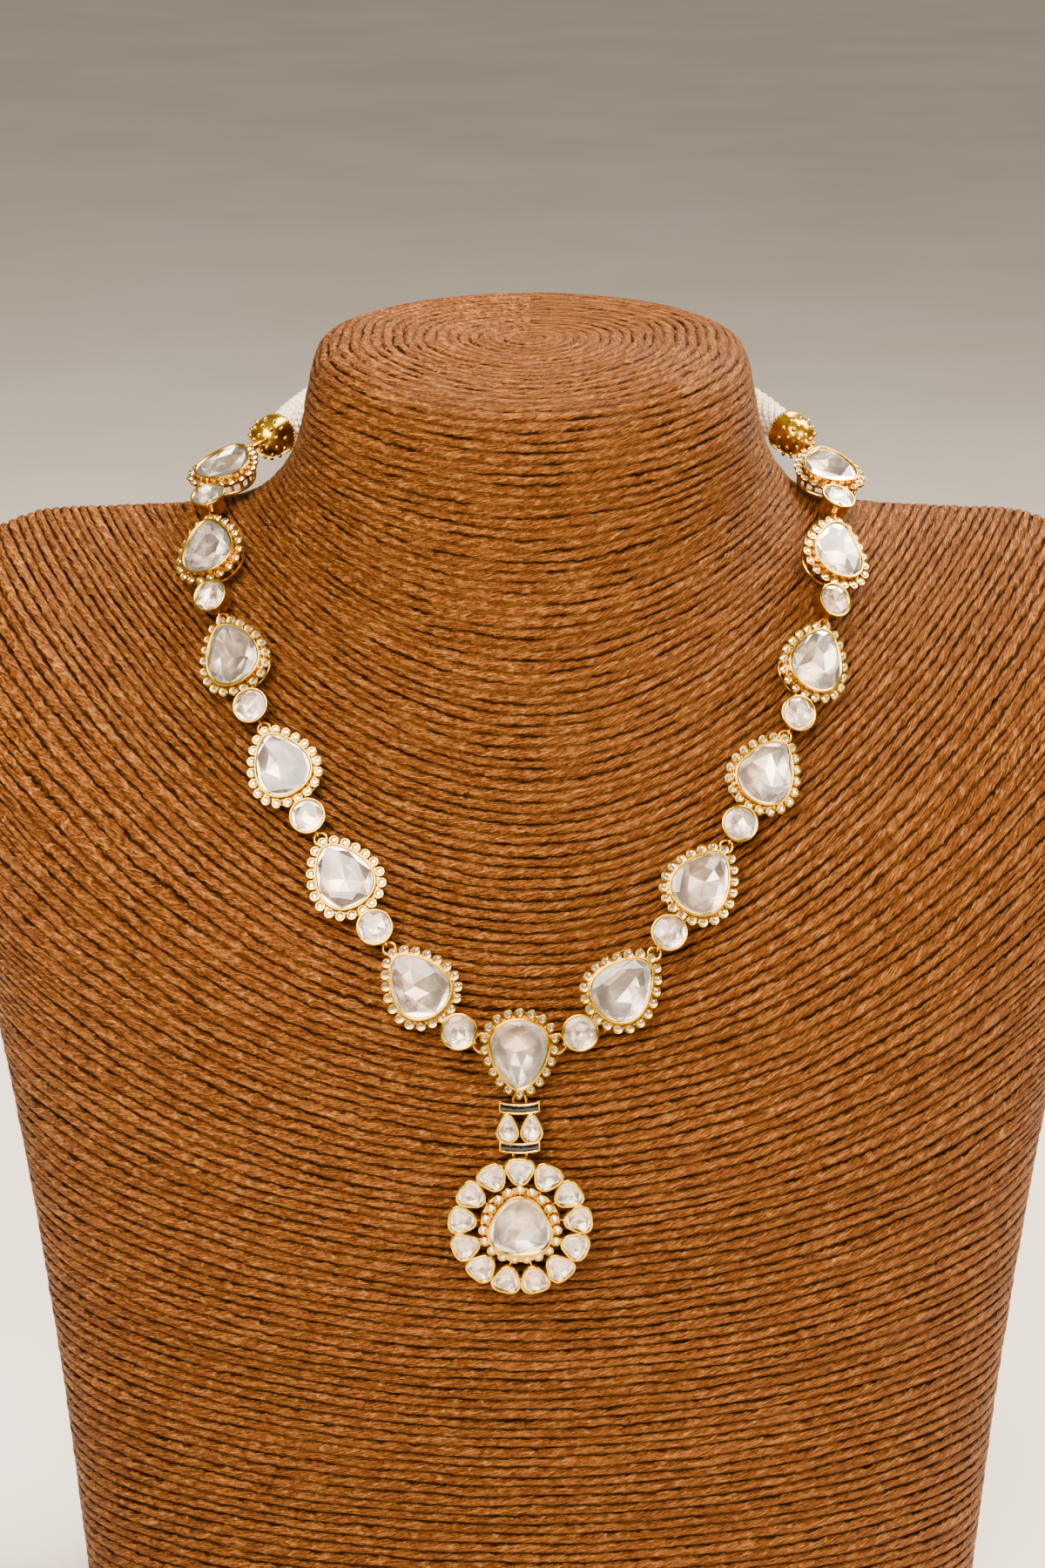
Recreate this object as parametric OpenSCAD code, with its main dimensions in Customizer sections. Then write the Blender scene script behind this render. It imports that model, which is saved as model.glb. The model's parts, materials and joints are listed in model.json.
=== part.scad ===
// Kundan necklace worn on a plain neck bust, in millimetres.
// +Z is up and the breast faces -Y. The origin is on the flat base, below the line where
// the bust is widest.
// Left and right are the viewer's, who looks along +Y at the pendant.

/* [Bust] */
// Height of the neck's top at its sides
bust_h = 308; // [280:1:340]
// Width over the shoulders' round, the widest place
bust_w = 280; // [250:1:300]
// Depth that the rows of the section table are shares of
bust_d = 141.5; // [125:0.5:155]
// Points in each row of the bust's skin
bust_sides = 48; // [36:4:60]
// Rows of skin for each row of the section table
bust_steps = 3; // [2:1:4]

/* [Pear links] */
// Width of the raised bezel of a pear link
pear_w = 13.9; // [12:0.1:15]
// Length of the raised bezel of a pear link
pear_l = 16.5; // [15:0.1:18]
// Sides of the polygon that a pear outline is drawn with
pear_sides = 40; // [24:4:48]
// Wall of the bezel round a pear stone
bezel_wall = 0.55; // [0.4:0.05:0.8]
// Height of the bezel over the gallery's plate
bezel_h = 3; // [2:0.1:4]
// Small collets of the halo round a pear bezel
halo_count = 20; // [16:2:24]
// Distance of the halo's middle line from the bezel
halo_out = 1.05; // [0.9:0.05:1.3]

/* [Collets] */
// Radius of a small collet, which holds a brilliant of the halo
collet_r = 1.15; // [0.9:0.05:1.3]
// Height of a small collet
collet_h = 1; // [0.9:0.05:1.8]
// Wall of a small collet
collet_wall = 0.3; // [0.2:0.05:0.4]
// Depth of the seat cut into a small collet
collet_seat = 0.5; // [0.3:0.05:0.7]

/* [Gallery] */
// Width of the wire that rests on the bust
wire_w = 0.75; // [0.6:0.05:1.2]
// Thickness of the wire that rests on the bust
wire_h = 0.8; // [0.6:0.1:1.2]
// Thickness of the plate under a bezel
plate_h = 0.5; // [0.4:0.1:0.8]
// Radius of the posts between wire and plate
post_r = 0.3; // [0.2:0.05:0.6]
// Gap that the model leaves between the bust and what lies on it
seat = 0.3; // [0.1:0.1:1]

/* [Round links] */
// Diameter of a round link's rim
round_d = 8.5; // [7:0.1:10]
// Height of a round link
round_h = 5.3; // [4.8:0.1:6]
// How far the rim stands out over the neck
rim_out = 0.85; // [0.5:0.05:1]
// Height of the round link's rim
rim_h = 0.65; // [0.5:0.05:1]

/* [Rings and eyes] */
// Radius of the wire of a jump ring
ring_wire = 0.35; // [0.25:0.05:0.45]
// Middle radius of a jump ring
ring_r = 1.45; // [1.3:0.05:1.8]
// Middle radius of the two rings at the sides of the centre link
centre_ring_r = 2.2; // [1.8:0.1:2.6]
// Middle radius of the ring between the last pear link and its cap
end_ring_r = 1.6; // [1.4:0.1:2]
// Radius of the wire of an eye
eye_wire = 0.3; // [0.2:0.05:0.4]
// Play of a ring's wire in an eye
eye_play = 0.2; // [0.1:0.05:0.3]

/* [Pendant] */
// Width of the enamelled bail
bail_w = 9.3; // [8:0.1:11]
// Height of the enamelled bail
bail_l = 11.9; // [10:0.1:13]
// Height of each of the bail's two enamel bands
band_l = 2.4; // [2:0.1:3]
// Width of the bail's pear bezels
drop_w = 5.1; // [4.5:0.1:5.4]
// Length of the bail's pear bezels
drop_l = 6.9; // [6:0.1:7.2]
// Size of the flower's centre bezel
heart_d = 14.6; // [13:0.1:16]
// Small collets round the centre bezel
heart_count = 19; // [15:1:21]
// Petals of the flower
petal_count = 13; // [11:1:15]
// Size of a petal's cup
petal_d = 6.6; // [6:0.1:7]
// Radius of the circle of the petals' middles
petal_out = 13.6; // [13:0.1:15]

/* [Stones] */
// Gap between a stone and its bezel
stone_gap = 0.1; // [0.05:0.01:0.2]
// Height of a large stone over its bezel's rim
stone_rise = 0.4; // [0.2:0.1:0.8]
// Size of a stone's table as a share of its outline
table_share = 0.5; // [0.4:0.05:0.7]

/* [Neck rope] */
// Radius of the rope of seed pearls
rope_r = 4.2; // [3:0.1:5]
// Outer radius of the gold caps
cap_r = 5; // [4:0.1:6]
// Length of a cap's bowl
cap_l = 8.6; // [7:0.1:10]
// Length of the shank from a cap's eye to its bowl
shank_l = 4.2; // [3:0.1:6]
// Length of the plain clasp at the back
clasp_l = 14; // [10:0.5:20]
// How far the rope goes into a cap or the clasp
rope_in = 3; // [2:0.5:4]

/* [Colours] */
// Gold of the mounts
gold = "goldenrod";
// Pale stones
glass = "lavenderblush";
// Dark enamel
enamel = "midnightblue";
// Seed pearls
pearl = "seashell";
// Twisted paper cord of the bust
straw = "tan";

/* [Hidden] */
$fn = 48;

// Sections of the bust from the neck's top to the base. Widths are shares of bust_w,
// depths of bust_d and heights of bust_h: half width, then the depth at the side, front
// and back, the height at the side, front and back, and how full the section is.
sections = [
    [0.000, 0.078, 0.078, 0.078, 1.008, 1.008, 1.008, 1.00],
    [0.079, 0.078, -0.071, 0.226, 1.009, 0.999, 1.013, 0.60],
    [0.146, 0.078, -0.198, 0.360, 1.010, 0.986, 1.020, 0.50],
    [0.180, 0.078, -0.254, 0.412, 0.998, 0.967, 1.014, 0.50],
    [0.190, 0.078, -0.279, 0.431, 0.970, 0.937, 0.987, 0.52],
    [0.197, 0.081, -0.293, 0.438, 0.938, 0.901, 0.945, 0.62],
    [0.210, 0.088, -0.307, 0.445, 0.909, 0.857, 0.899, 0.90],
    [0.237, 0.099, -0.329, 0.445, 0.886, 0.812, 0.851, 1.15],
    [0.286, 0.106, -0.364, 0.438, 0.877, 0.753, 0.799, 1.40],
    [0.357, 0.092, -0.410, 0.424, 0.875, 0.685, 0.734, 1.60],
    [0.425, 0.057, -0.463, 0.410, 0.873, 0.617, 0.662, 1.55],
    [0.475, 0.000, -0.509, 0.389, 0.847, 0.565, 0.597, 1.35],
    [0.500, -0.057, -0.537, 0.367, 0.766, 0.519, 0.539, 1.15],
    [0.491, -0.099, -0.551, 0.353, 0.649, 0.464, 0.474, 1.00],
    [0.461, -0.120, -0.555, 0.332, 0.513, 0.396, 0.403, 0.90],
    [0.432, -0.134, -0.544, 0.311, 0.364, 0.299, 0.302, 0.80],
    [0.407, -0.141, -0.523, 0.297, 0.195, 0.162, 0.162, 0.75],
    [0.386, -0.141, -0.502, 0.283, 0.000, 0.000, 0.000, 0.75],
];
WIDE = 0;
DEEP_SIDE = 1;
DEEP_FRONT = 2;
DEEP_BACK = 3;
HIGH_SIDE = 4;
HIGH_FRONT = 5;
HIGH_BACK = 6;
FULL = 7;

// Where the necklace lies: the row of the section table, the swing from the front's
// middle in degrees, the lift over a link that lies flat and the roll outward.
drop_way = [
    [11.95, -1.1, 0.0, 0],
    [12.50, -1.1, 0.1, 0],
    [13.00, -1.1, 0.1, 0],
    [13.50, -1.1, 0.1, 0],
    [14.00, -1.1, 0.1, 0],
    [14.50, -1.1, 0.1, 0],
    [15.00, -1.1, 0.1, 0],
    [15.50, -1.1, 0.1, 0],
];
left_way = [
    [11.75, 6.8, 0.1, 0],
    [11.17, 10.9, 0.2, 0],
    [10.61, 16.2, 0.2, 0],
    [10.18, 20.6, 0.3, 0],
    [9.77, 26.4, 0.4, 0],
    [9.46, 31.2, 0.6, 3],
    [9.18, 38.3, 0.8, 5],
    [8.84, 43.9, 1.9, 8],
    [8.59, 53.3, 1.5, 10],
    [8.21, 60.2, 2.0, 10],
    [7.88, 74.1, 2.3, 2],
    [7.48, 90.7, 3.6, -18],
    [6.76, 101.5, 6.8, -25],
    [6.10, 109.1, 6.3, -15],
    [5.07, 123.6, 5.5, 0],
    [4.70, 145.9, 4.2, 0],
    [4.63, 163.0, 3.5, 0],
    [4.62, 180.0, 3.3, 0],
    [4.63, 197.0, 3.5, 0],
];
right_way = [
    [11.75, 4.2, 0.1, 0],
    [11.17, 8.7, 0.1, 0],
    [10.60, 14.1, 0.2, 0],
    [10.17, 18.2, 0.3, 0],
    [9.78, 24.1, 0.4, 0],
    [9.47, 28.4, 0.8, 3],
    [9.18, 35.4, 0.8, 5],
    [8.85, 40.7, 1.95, 8],
    [8.51, 49.2, 1.5, 10],
    [8.16, 56.3, 2.0, 10],
    [7.66, 70.0, 2.3, 2],
    [7.28, 91.3, 3.6, -18],
    [6.70, 101.4, 6.8, -25],
    [5.73, 109.1, 6.2, -15],
    [5.07, 123.6, 5.5, 0],
    [4.70, 145.9, 4.2, 0],
    [4.63, 163.0, 3.5, 0],
    [4.62, 180.0, 3.3, 0],
    [4.63, 197.0, 3.5, 0],
];

// Each pear link's own width and length as shares of pear_w and pear_l, and its taper:
// the centre link, then the left and right links from the centre on.
centre_shape = [1.00, 1.00, 0.30];
left_shapes = [
    [0.99, 0.99, 0.30],
    [0.99, 0.99, 0.28],
    [0.98, 0.98, 0.30],
    [0.98, 0.97, 0.31],
    [0.97, 0.96, 0.29],
    [0.96, 0.96, 0.30],
];
right_shapes = [
    [1.00, 0.99, 0.29],
    [0.98, 0.98, 0.30],
    [0.99, 0.98, 0.31],
    [0.98, 0.97, 0.29],
    [0.97, 0.96, 0.30],
    [0.96, 0.96, 0.30],
];
LEFT = -1;
RIGHT = 1;
pairs = len(left_shapes);

// Heights over the back of a link: the eyes' middle, then the plate over the rings.
ring_under = 0.45;
ring_over = 0.25;
eye_h = wire_h + ring_under + ring_wire;
plate_z = eye_h + ring_wire + ring_over;
eye_r = ring_wire + eye_wire + eye_play;
bezel_top = plate_z + bezel_h;
eye_room = 0.1;
collet_z = eye_h + eye_r + eye_wire + eye_room;
joint = 0.15;
eye_stand = 0.3;
foot_z = collet_z - joint;
foot_h = 0.7;
foot_out = 0.4;
plate_out = 0.3;
plate_in = 1;
post_in = 0.2;
girdle = 0.5;
foot_share = 0.8;

// Eyes of the links, measured from each link's middle.
eye_in = 0.95;
round_r = round_d / 2;
neck_r = round_r - rim_out;
round_eye = neck_r + eye_wire + eye_stand;
side_eye = 6.3;
side_rise = 15;

// Bail and flower on the pendant's line.
bail_eye = 5;
flower_eye = 15.4;
bail_arch = 18;
border_w = 0.45;
bail_h = 2.2;
bail_top = plate_z + bail_h;
heart_r = heart_d / 2;
heart_h = 3.2;
heart_top = plate_z + heart_h;
heart_bulge = 0.07;
petal_bulge = 0.1;
petal_h = 2;
petal_top = plate_z + petal_h;
web_in = petal_out - 6.7;
web_out = petal_out - 4.3;
web_arm = 0.9;
web_reach = petal_out - 3;
inner_ring_r = petal_out - 4.8;
outer_ring_r = petal_out + 0.4;

// Places of one Catmull-Rom span, of a section and of the bust's skin.
function blend(p, q, r, s, t) = q + t * (r - p) / 2 + t * t * (2 * p - 5 * q + 4 * r - s) / 2
    + t * t * t * (3 * (q - r) + s - p) / 2;
function unit(v) = v / norm(v);
function section_at(row) = let (
        last = len(sections) - 1,
        i = min(floor(row), last - 1))
    blend(sections[max(i - 1, 0)], sections[i], sections[i + 1], sections[min(i + 2, last)],
        row - i);
function skin(row, swing) = let (
        c = section_at(row),
        front = cos(swing) > 0,
        share = pow(abs(cos(swing)), c[FULL]),
        deep = front ? c[DEEP_FRONT] : c[DEEP_BACK],
        high = front ? c[HIGH_FRONT] : c[HIGH_BACK])
    [bust_w * c[WIDE] * sin(swing),
        bust_d * (c[DEEP_SIDE] + (deep - c[DEEP_SIDE]) * share),
        bust_h * (c[HIGH_SIDE] + (high - c[HIGH_SIDE]) * pow(cos(swing), 2))];
function skin_normal(row, swing) = let (
        row_step = 0.02,
        swing_step = 0.5)
    unit(cross(skin(row + row_step, swing) - skin(row - row_step, swing),
        skin(row, swing + swing_step) - skin(row, swing - swing_step)));

// A way is a list of stations, each one a place, the bust's normal there and the roll.
function station(row, swing, lift, roll) = let (n = skin_normal(row, swing))
    concat(skin(row, swing) + (seat + eye_h + lift) * n, n, [roll]);
function stations(way, side) = [for (w = way) station(w[0], side * w[1], w[2], w[3])];
function place_of(s) = [s[0], s[1], s[2]];
function normal_of(s) = [s[3], s[4], s[5]];
way_steps = 12;
function smooth(s) = [for (i = [0 : len(s) - 3]) for (j = [0 : way_steps - 1])
    blend(s[max(i - 1, 0)], s[i], s[i + 1], s[i + 2], j / way_steps)];
function lengths(s) = [for (i = 0, sum = 0; i < len(s);
    sum = sum + (i + 1 < len(s) ? norm(place_of(s[i + 1]) - place_of(s[i])) : 0), i = i + 1) sum];
function tables(s) = let (sum = lengths(s))
    [for (c = [0 : 6]) [for (i = [0 : len(s) - 1]) [sum[i], s[i][c]]]];
function at(way, s) = [for (table = way) lookup(s, table)];
function ahead(way, s, span) = let (
        here = place_of(at(way, s)),
        near = s + 2 * span - norm(place_of(at(way, s + span)) - here))
    near + span - norm(place_of(at(way, near)) - here);
function marks(way, spans) = [for (i = 0, s = 0; i <= len(spans);
    s = i < len(spans) ? ahead(way, s, spans[i]) : s, i = i + 1) s];

// A frame is an origin and three axes: X across, Y along the chain, Z off the bust.
function frame(origin, along, off, roll = 0, side = 1) = let (
        y = unit(along),
        flat = unit(off - (off * y) * y),
        z = cos(roll) * flat + sin(roll) * side * cross(y, flat))
    [origin, cross(y, z), y, z];
function spot(f, p) = f[0] + p[0] * f[1] + p[1] * f[2] + p[2] * f[3];
function link_frame(way, near, far, near_eye, side) = let (
        a = at(way, near),
        b = at(way, far),
        f = frame(place_of(a), place_of(b) - place_of(a), normal_of(a) + normal_of(b),
            (a[6] + b[6]) / 2, side))
    [spot(f, [0, near_eye, -eye_h]), f[1], f[2], f[3]];
function ring_frame(a, b, off) = frame((a + b) / 2, b - a, off);

// The pendant's line starts at the centre link's middle and runs down.
drop = tables(smooth(stations(drop_way, 1)));
function tip_eye(shape) = pear_l * shape[1] / 2 + halo_out;
function blunt_eye(shape) = pear_l * shape[1] / 2 - eye_in;
centre_tip = tip_eye(centre_shape);
drop_marks = marks(drop, [centre_tip, 2 * ring_r, 2 * bail_eye, 2 * ring_r, 2 * flower_eye]);
centre_frame = link_frame(drop, 0, drop_marks[1], 0, 1);
bail_frame_at = link_frame(drop, drop_marks[2], drop_marks[3], bail_eye, 1);
flower_frame = link_frame(drop, drop_marks[4], drop_marks[5], flower_eye, 1);
function side_spot(side) = spot(centre_frame,
    [-side * side_eye * cos(side_rise), -side_eye * sin(side_rise), eye_h]);

// Each side's way starts at the centre link's side eye.
function side_line(way, side) = tables(smooth(concat(
    [concat(side_spot(side), centre_frame[3], [0])], stations(way, side))));
left_line = side_line(left_way, LEFT);
right_line = side_line(right_way, RIGHT);
function spans(shapes) = concat([2 * centre_ring_r], [for (i = [0 : pairs - 1]) each [
    2 * round_eye,
    2 * ring_r,
    tip_eye(shapes[i]) + blunt_eye(shapes[i]),
    i < pairs - 1 ? 2 * ring_r : 2 * end_ring_r]], [shank_l + cap_l - rope_in]);
left_marks = marks(left_line, spans(left_shapes));
right_marks = marks(right_line, spans(right_shapes));
function line_of(side) = side == LEFT ? left_line : right_line;
function marks_of(side) = side == LEFT ? left_marks : right_marks;
function shapes_of(side) = side == LEFT ? left_shapes : right_shapes;
function round_frame(side, i) = let (m = marks_of(side))
    link_frame(line_of(side), m[4 * i - 3], m[4 * i - 2], round_eye, side);
function pear_frame(side, i) = let (m = marks_of(side))
    link_frame(line_of(side), m[4 * i - 1], m[4 * i], blunt_eye(shapes_of(side)[i - 1]), side);
function cap_frame(side) = let (
        m = marks_of(side),
        f = link_frame(line_of(side), m[4 * pairs + 1], m[4 * pairs + 2], 0, side))
    [spot(f, [0, 0, eye_h]), f[1], f[2], f[3]];
function round_eye_spot(side, i, way) = spot(round_frame(side, i), [0, way * round_eye, eye_h]);
function pear_eye_spot(side, i, way) = let (shape = shapes_of(side)[i - 1])
    spot(pear_frame(side, i), [0, way > 0 ? tip_eye(shape) : -blunt_eye(shape), eye_h]);

// A pear outline, its point at +Y, grown by out all round.
function pear_swell(taper) = max([for (t = [0 : 2 : 180]) sin(t) * (1 - taper * cos(t))]);
function pear_point(size, out, t) = [
    (size[0] / 2 + out) * sin(t) * (1 - size[2] * cos(t)) / pear_swell(size[2]),
    (size[1] / 2 + out) * cos(t)];
function pear_outline(size, out = 0, sides = pear_sides) =
    [for (i = [0 : sides - 1]) pear_point(size, out, 360 * i / sides)];
function pear_size(shape) = [pear_w * shape[0], pear_l * shape[1], shape[2]];
function corner_outline(r, bulge, out = 0, sides = pear_sides) =
    [for (i = [0 : sides - 1]) let (a = 360 * i / sides)
        (r * (1 + bulge * cos(3 * a)) + out) * [sin(a), cos(a)]];

// Points at equal distances along a closed outline.
function outline_sum(line) = [for (i = 0, sum = 0; i <= len(line);
    sum = sum + norm(line[(i + 1) % len(line)] - line[i % len(line)]), i = i + 1) sum];
function beads(line, count) = let (
        sum = outline_sum(line),
        xs = [for (i = [0 : len(line)]) [sum[i], line[i % len(line)][0]]],
        ys = [for (i = [0 : len(line)]) [sum[i], line[i % len(line)][1]]])
    [for (i = [0 : count - 1]) let (s = i * sum[len(line)] / count) [lookup(s, xs), lookup(s, ys)]];
fine_sides = 120;
function halo(size) = beads(pear_outline(size, halo_out, fine_sides), halo_count);
heart_out = collet_r - 0.05;
function heart_halo() = beads(corner_outline(heart_r, heart_bulge, heart_out, fine_sides),
    heart_count);

// Collets over a post: all but those at the eyes.
link_posts = [for (i = [0 : halo_count - 1])
    if (min(i, halo_count - i) > 1 && abs(i - halo_count / 2) > 1) i];
side_index = halo_count * 0.28;
centre_posts = [for (i = [0 : halo_count - 1])
    if (min(i, halo_count - i) > 1 && abs(min(i, halo_count - i) - side_index) > 1) i];

// Puts a sub-part into a frame.
module put(f)
    multmatrix([
        [f[1][0], f[2][0], f[3][0], f[0][0]],
        [f[1][1], f[2][1], f[3][1], f[0][1]],
        [f[1][2], f[2][2], f[3][2], f[0][2]],
        [0, 0, 0, 1]]) children();

module wall(outer, inner, low, high)
    translate([0, 0, low]) linear_extrude(high - low) difference() {
        polygon(outer);
        polygon(inner);
    }

module slab(line, low, high)
    translate([0, 0, low]) linear_extrude(high - low) polygon(line);

module ring(r, wire)
    rotate_extrude() translate([r, 0]) circle(wire);

// An eye for a ring that lies flat and leaves the link along the direction turn.
module eye(p, turn = 0)
    translate([p[0], p[1], eye_h]) rotate([0, 0, turn]) rotate([0, 90, 0]) ring(eye_r, eye_wire);

module collet(p, low = collet_z, high = collet_z + collet_h)
    translate([p[0], p[1], 0]) rotate_extrude() polygon([
        [0, low],
        [collet_r, low],
        [collet_r, high],
        [collet_r - collet_wall, high],
        [collet_r - collet_wall, high - collet_seat],
        [0, high - 1.5 * collet_seat]]);

module post(p, low, high)
    translate([p[0], p[1], low]) cylinder(r = post_r, h = high - low);

// Gold of a pear link, without its eyes.
module pear_mount(size, posts) {
    spots = halo(size);
    feet = beads(pear_outline(size, wire_w / 2, fine_sides), halo_count);
    wall(pear_outline(size, wire_w), pear_outline(size), 0, wire_h);
    wall(pear_outline(size, plate_out), pear_outline(size, -plate_in), plate_z, plate_z + plate_h);
    wall(pear_outline(size), pear_outline(size, -bezel_wall), plate_z + joint, bezel_top);
    wall(pear_outline(size, foot_out), pear_outline(size, -joint), foot_z, foot_z + foot_h);
    for (p = spots) collet(p);
    for (i = posts) post(feet[i], wire_h - joint, collet_z + post_in);
}

module pear_setting(side, i) {
    shape = shapes_of(side)[i - 1];
    color(gold) put(pear_frame(side, i)) {
        pear_mount(pear_size(shape), link_posts);
        eye([0, tip_eye(shape)]);
        eye([0, -blunt_eye(shape)]);
    }
}

module centre_setting() {
    color(gold) put(centre_frame) {
        pear_mount(pear_size(centre_shape), centre_posts);
        eye([0, centre_tip]);
        for (side = [LEFT, RIGHT])
            eye(side_eye * [side * cos(side_rise), -sin(side_rise)], side * (90 + side_rise));
    }
}

// A cut stone: rings of the outline, each one with a scale and a height, closed flat.
module cut_stone(line, rings) {
    n = len(line);
    points = [for (r = rings) for (p = line) [p[0] * r[0], p[1] * r[0], r[1]]];
    sides = [for (k = [0 : len(rings) - 2]) for (j = [0 : n - 1]) let (
            a = k * n + j,
            b = k * n + (j + 1) % n)
        each [[a, b, b + n], [a, b + n, a + n]]];
    top = (len(rings) - 1) * n;
    polyhedron(points, concat(sides, [[for (j = [n - 1 : -1 : 0]) j]], [[for (j = [0 : n - 1]) top + j]]));
}

module pear_gem(size, low, high, sides) {
    grow = -bezel_wall - stone_gap;
    cut_stone(pear_outline(size, grow, sides), [
        [foot_share, low],
        [1, high - stone_rise - girdle],
        [1, high - stone_rise],
        [table_share, high]]);
}

pear_gem_sides = 14;
module pear_stone(side, i)
    color(glass) put(pear_frame(side, i))
        pear_gem(pear_size(shapes_of(side)[i - 1]), plate_z + plate_h + stone_gap,
            bezel_top + stone_rise, pear_gem_sides);

module centre_stone()
    color(glass) put(centre_frame)
        pear_gem(pear_size(centre_shape), plate_z + plate_h + stone_gap,
            bezel_top + stone_rise, pear_gem_sides);

// Gold cup of a round link: floor, neck and a flared rim with a cone-shaped seat.
cup_floor = 3;
seat_deep = 0.55;
cup_seat = round_h - seat_deep;
cup_slope = 0.85;
cup_wall = 0.65;
cup_bevel = 0.25;
rim_slope = 0.2;
module round_setting(side, i)
    color(gold) put(round_frame(side, i)) {
        rotate_extrude() polygon([
            [0, wire_h / 2],
            [neck_r - cup_bevel, wire_h / 2],
            [neck_r, wire_h],
            [neck_r, round_h - rim_h - rim_slope],
            [round_r, round_h - rim_h],
            [round_r, round_h],
            [round_r - bezel_wall, round_h],
            [round_r - bezel_wall, cup_seat],
            [neck_r - cup_wall, cup_seat - cup_slope],
            [0, cup_floor]]);
        eye([0, round_eye]);
        eye([0, -round_eye]);
    }

round_gem_sides = 10;
round_gem_foot = 0.68;
module round_stones() {
    turn = 360 / round_gem_sides;
    line = [for (j = [0 : round_gem_sides - 1])
        (round_r - bezel_wall - stone_gap) * [sin(turn * j), cos(turn * j)]];
    for (side = [LEFT, RIGHT]) for (i = [1 : pairs])
        color(glass) put(round_frame(side, i)) cut_stone(line, [
            [round_gem_foot, cup_seat - cup_slope],
            [1, cup_seat + stone_gap],
            [1, round_h - stone_gap],
            [table_share, round_h + stone_rise - stone_gap]]);
}

// Jump rings of one side, from the centre link to the cap.
module jump_rings(side)
    color(gold) {
        first = side_spot(side);
        centre_off = centre_frame[3];
        put(ring_frame(first, round_eye_spot(side, 1, -1), centre_off + round_frame(side, 1)[3]))
            ring(centre_ring_r, ring_wire);
        for (i = [1 : pairs]) {
            off = round_frame(side, i)[3] + pear_frame(side, i)[3];
            put(ring_frame(round_eye_spot(side, i, 1), pear_eye_spot(side, i, -1), off))
                ring(ring_r, ring_wire);
        }
        for (i = [1 : pairs - 1]) {
            off = pear_frame(side, i)[3] + round_frame(side, i + 1)[3];
            put(ring_frame(pear_eye_spot(side, i, 1), round_eye_spot(side, i + 1, -1), off))
                ring(ring_r, ring_wire);
        }
        put(ring_frame(pear_eye_spot(side, pairs, 1), cap_frame(side)[0],
            pear_frame(side, pairs)[3] + cap_frame(side)[3])) ring(end_ring_r, ring_wire);
    }

module pendant_rings()
    color(gold) {
        centre_low = spot(centre_frame, [0, centre_tip, eye_h]);
        bail_high = spot(bail_frame_at, [0, -bail_eye, eye_h]);
        bail_low = spot(bail_frame_at, [0, bail_eye, eye_h]);
        flower_high = spot(flower_frame, [0, -flower_eye, eye_h]);
        put(ring_frame(centre_low, bail_high, centre_frame[3] + bail_frame_at[3]))
            ring(ring_r, ring_wire);
        put(ring_frame(bail_low, flower_high, bail_frame_at[3] + flower_frame[3]))
            ring(ring_r, ring_wire);
    }

// Enamelled bail: two arched bands with two pear bezels between them.
band_points = 8;
function arch(x, y) = [x, y - bail_arch + sqrt(bail_arch * bail_arch - x * x)];
function band_line(y, in) = let (half = bail_w / 2 - in) concat(
    [for (i = [0 : band_points]) arch(half * (2 * i / band_points - 1), y + in)],
    [for (i = [0 : band_points]) arch(half * (1 - 2 * i / band_points), y + band_l - in)]);
band_lift = 0.3;
band_tops = [-bail_l / 2, bail_l / 2 - band_l - band_lift];
drop_taper = 0.3;
drop_size = [drop_w, drop_l, drop_taper];
drop_gap = 0.4;
drop_x = (drop_w + drop_gap) / 2;
drop_low = -0.2;
drop_wall = 0.45;
cup_plate = 0.8;
small_sides = 24;
small_gem_sides = 10;
band_deep = 0.8;
band_floor = bail_top - band_deep;
module pointed_up(x)
    translate([x, drop_low, 0]) mirror([0, 1, 0]) children();

module bail_frame()
    color(gold) put(bail_frame_at) {
        bar_w = 0.8;
        bar_h = 0.5;
        bar_end = 1;
        for (y = band_tops) {
            slab(band_line(y, 0), plate_z + joint, band_floor);
            wall(band_line(y, 0), band_line(y, border_w), band_floor - joint, bail_top);
        }
        for (x = [-drop_x, drop_x]) pointed_up(x) {
            slab(pear_outline(drop_size, 0, small_sides), plate_z + joint, plate_z + cup_plate);
            wall(pear_outline(drop_size, 0, small_sides), pear_outline(drop_size, -drop_wall, small_sides),
                plate_z + cup_plate - joint, bail_top);
        }
        for (side = [LEFT, RIGHT])
            translate([side * (bail_w / 2 - bar_w) - bar_w / 2, bar_end - bail_l / 2, plate_z + joint])
                cube([bar_w, bail_l - 2 * bar_end, bar_h]);
        eye([0, bail_eye]);
        eye([0, -bail_eye]);
    }

module bail_stones()
    color(glass) put(bail_frame_at)
        for (x = [-drop_x, drop_x]) pointed_up(x)
            cut_stone(pear_outline(drop_size, -drop_wall - stone_gap, small_gem_sides), [
                [foot_share, plate_z + cup_plate + stone_gap],
                [1, bail_top - girdle],
                [1, bail_top - stone_gap],
                [table_share, bail_top + stone_rise - stone_gap]]);

module bail_enamel()
    color(enamel) put(bail_frame_at)
        for (y = band_tops)
            slab(band_line(y, border_w + stone_gap / 2), band_floor + stone_gap / 2, bail_top - joint);

// Flower: a three-cornered bezel, its halo and a ring of petal cups, points inward.
module petals()
    for (i = [0 : petal_count - 1])
        rotate([0, 0, i * 360 / petal_count]) translate([0, -petal_out, 0]) children();

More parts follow.
